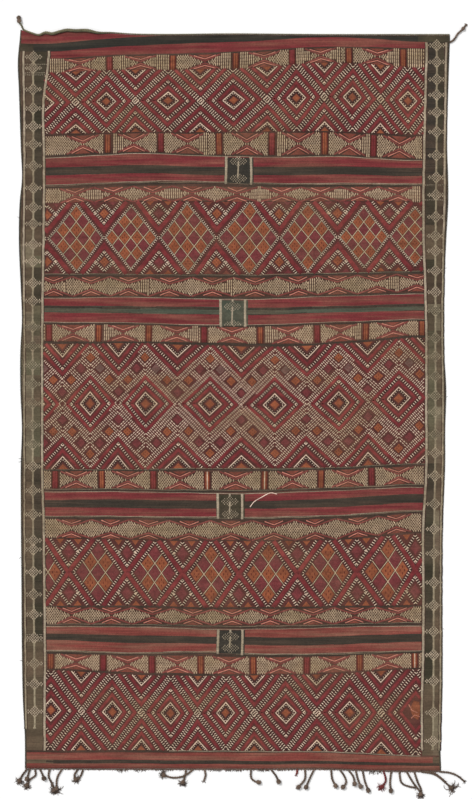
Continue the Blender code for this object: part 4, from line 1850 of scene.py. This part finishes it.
def build_heading_cord():
    """The cord along the heading with its left tail, and a thicker tail from the right selvedge."""
    yarns, ends = Yarns(), Yarns()
    xs = np.arange(*CORD_RUN, CORD_STEP)
    edge = np.column_stack([xs, end_y(0, xs) - CORD_WIDTH / 2])
    left = resample([*reversed(LEFT_TAIL), tuple(edge[0])], CORD_STEP)[:-1]
    plan = np.concatenate([left, edge])
    swell_x, swell = zip(*CORD_SWELL)
    radii = smooth(swell_x, swell, plan[:, 0])
    path = np.column_stack([plan, radii * 1.9])
    yarns.plied(path, radii, 14.0)
    lean = np.array([-0.2, 0.98, 0.0])
    for place, radius in ((path[1], 6.6), (path[8], 7.2)):
        ends.knot(place + (0, 0, 3.5), lean, radius, 2.9)
    ends.brush(path[1] + (0, 0, 3.0), math.pi * 0.5, 44, 1.1, (7.0, 11.0))
    tail = smooth_path(RIGHT_TAIL, CORD_STEP)
    tail = np.column_stack([tail, np.full(len(tail), 4.6)])
    ends.plied(tail, 2.4, 16.0)
    ends.knot(tail[-8] + (0, 0, 2.0), np.array([0.6, 0.8, 0.0]), 5.4, 2.6)
    ends.brush(tail[-2], math.pi * 0.3, 40, 0.6, (8.0, 14.0))
    add_fuzz(ends, tail)
    cord = yarns.build("twined_heading", "cord", 0.2, "cord_wool")
    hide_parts("heading_cord")
    return [cord, ends.build("heading_ends", "ends", 0.25, "cord_wool")]


# A stray pale yarn that lies on the rug: (x, y) in mm.
STRAY = ((34, -396), (52, -374), (82, -356), (114, -340), (142, -344))


def build_stray_yarn():
    points = np.array(STRAY, float)
    index = np.arange(len(points))
    marks = np.linspace(0, len(points) - 1, 60)
    plan = np.column_stack([smooth(index, column, marks) for column in points.T])
    yarns = Yarns()
    yarns.plied(np.column_stack([plan, cloth_top(*plan.T) + 1.6]), 1.1, 9.0)
    return yarns.build("stray_yarn", "pale", 0.1, "cloth_wool")


# Stage, light and camera.

PHOTO_SIZE = (472, 799)
PHOTO_SCALE = 4.0 * MM
PHOTO_MIDDLE = (-0.022, 0.034)
CAMERA_HEIGHT = 12.0
SENSOR = 24.0
FLOOR_SIZE = 60.0
FLOOR_Z = -0.0005
FLOOR_WHITE = 0.95
SKY_STRENGTH = 0.66
SUN_STRENGTH = 1.9
SUN_WIDTH = 16
SUN_TILT = (-28, -30)


def build_stage():
    bpy.ops.mesh.primitive_plane_add(size=FLOOR_SIZE, location=(0, 0, FLOOR_Z))
    floor = bpy.context.object
    floor.name = "floor"
    material = bpy.data.materials.new("pale_floor")
    material.use_nodes = True
    shader = material.node_tree.nodes["Principled BSDF"]
    shader.inputs["Base Color"].default_value = (FLOOR_WHITE, FLOOR_WHITE, FLOOR_WHITE, 1)
    shader.inputs["Roughness"].default_value = 0.9
    floor.data.materials.append(material)


def build_light():
    world = bpy.data.worlds.new("soft_world")
    world.use_nodes = True
    background = world.node_tree.nodes["Background"]
    background.inputs["Color"].default_value = (1, 1, 1, 1)
    background.inputs["Strength"].default_value = SKY_STRENGTH
    bpy.context.scene.world = world
    light = bpy.data.lights.new("key", "SUN")
    light.energy = SUN_STRENGTH
    light.angle = math.radians(SUN_WIDTH)
    key = bpy.data.objects.new("key", light)
    key.rotation_euler = (*map(math.radians, SUN_TILT), 0)
    bpy.context.scene.collection.objects.link(key)


def build_camera():
    data = bpy.data.cameras.new("camera")
    data.sensor_fit = "VERTICAL"
    data.sensor_height = SENSOR
    data.lens = SENSOR * CAMERA_HEIGHT / (PHOTO_SIZE[1] * PHOTO_SCALE)
    data.clip_end = FLOOR_SIZE
    camera = bpy.data.objects.new("camera", data)
    camera.location = (*PHOTO_MIDDLE, CAMERA_HEIGHT)
    bpy.context.scene.collection.objects.link(camera)
    bpy.context.scene.camera = camera
    bpy.context.scene.view_settings.view_transform = "Standard"


def main():
    build_camera()
    build_light()
    build_stage()
    cloth = build_ground()
    pieces = build_brocade()
    fringe = build_end_fringe()
    cords = build_heading_cord()
    build_stray_yarn()


main()
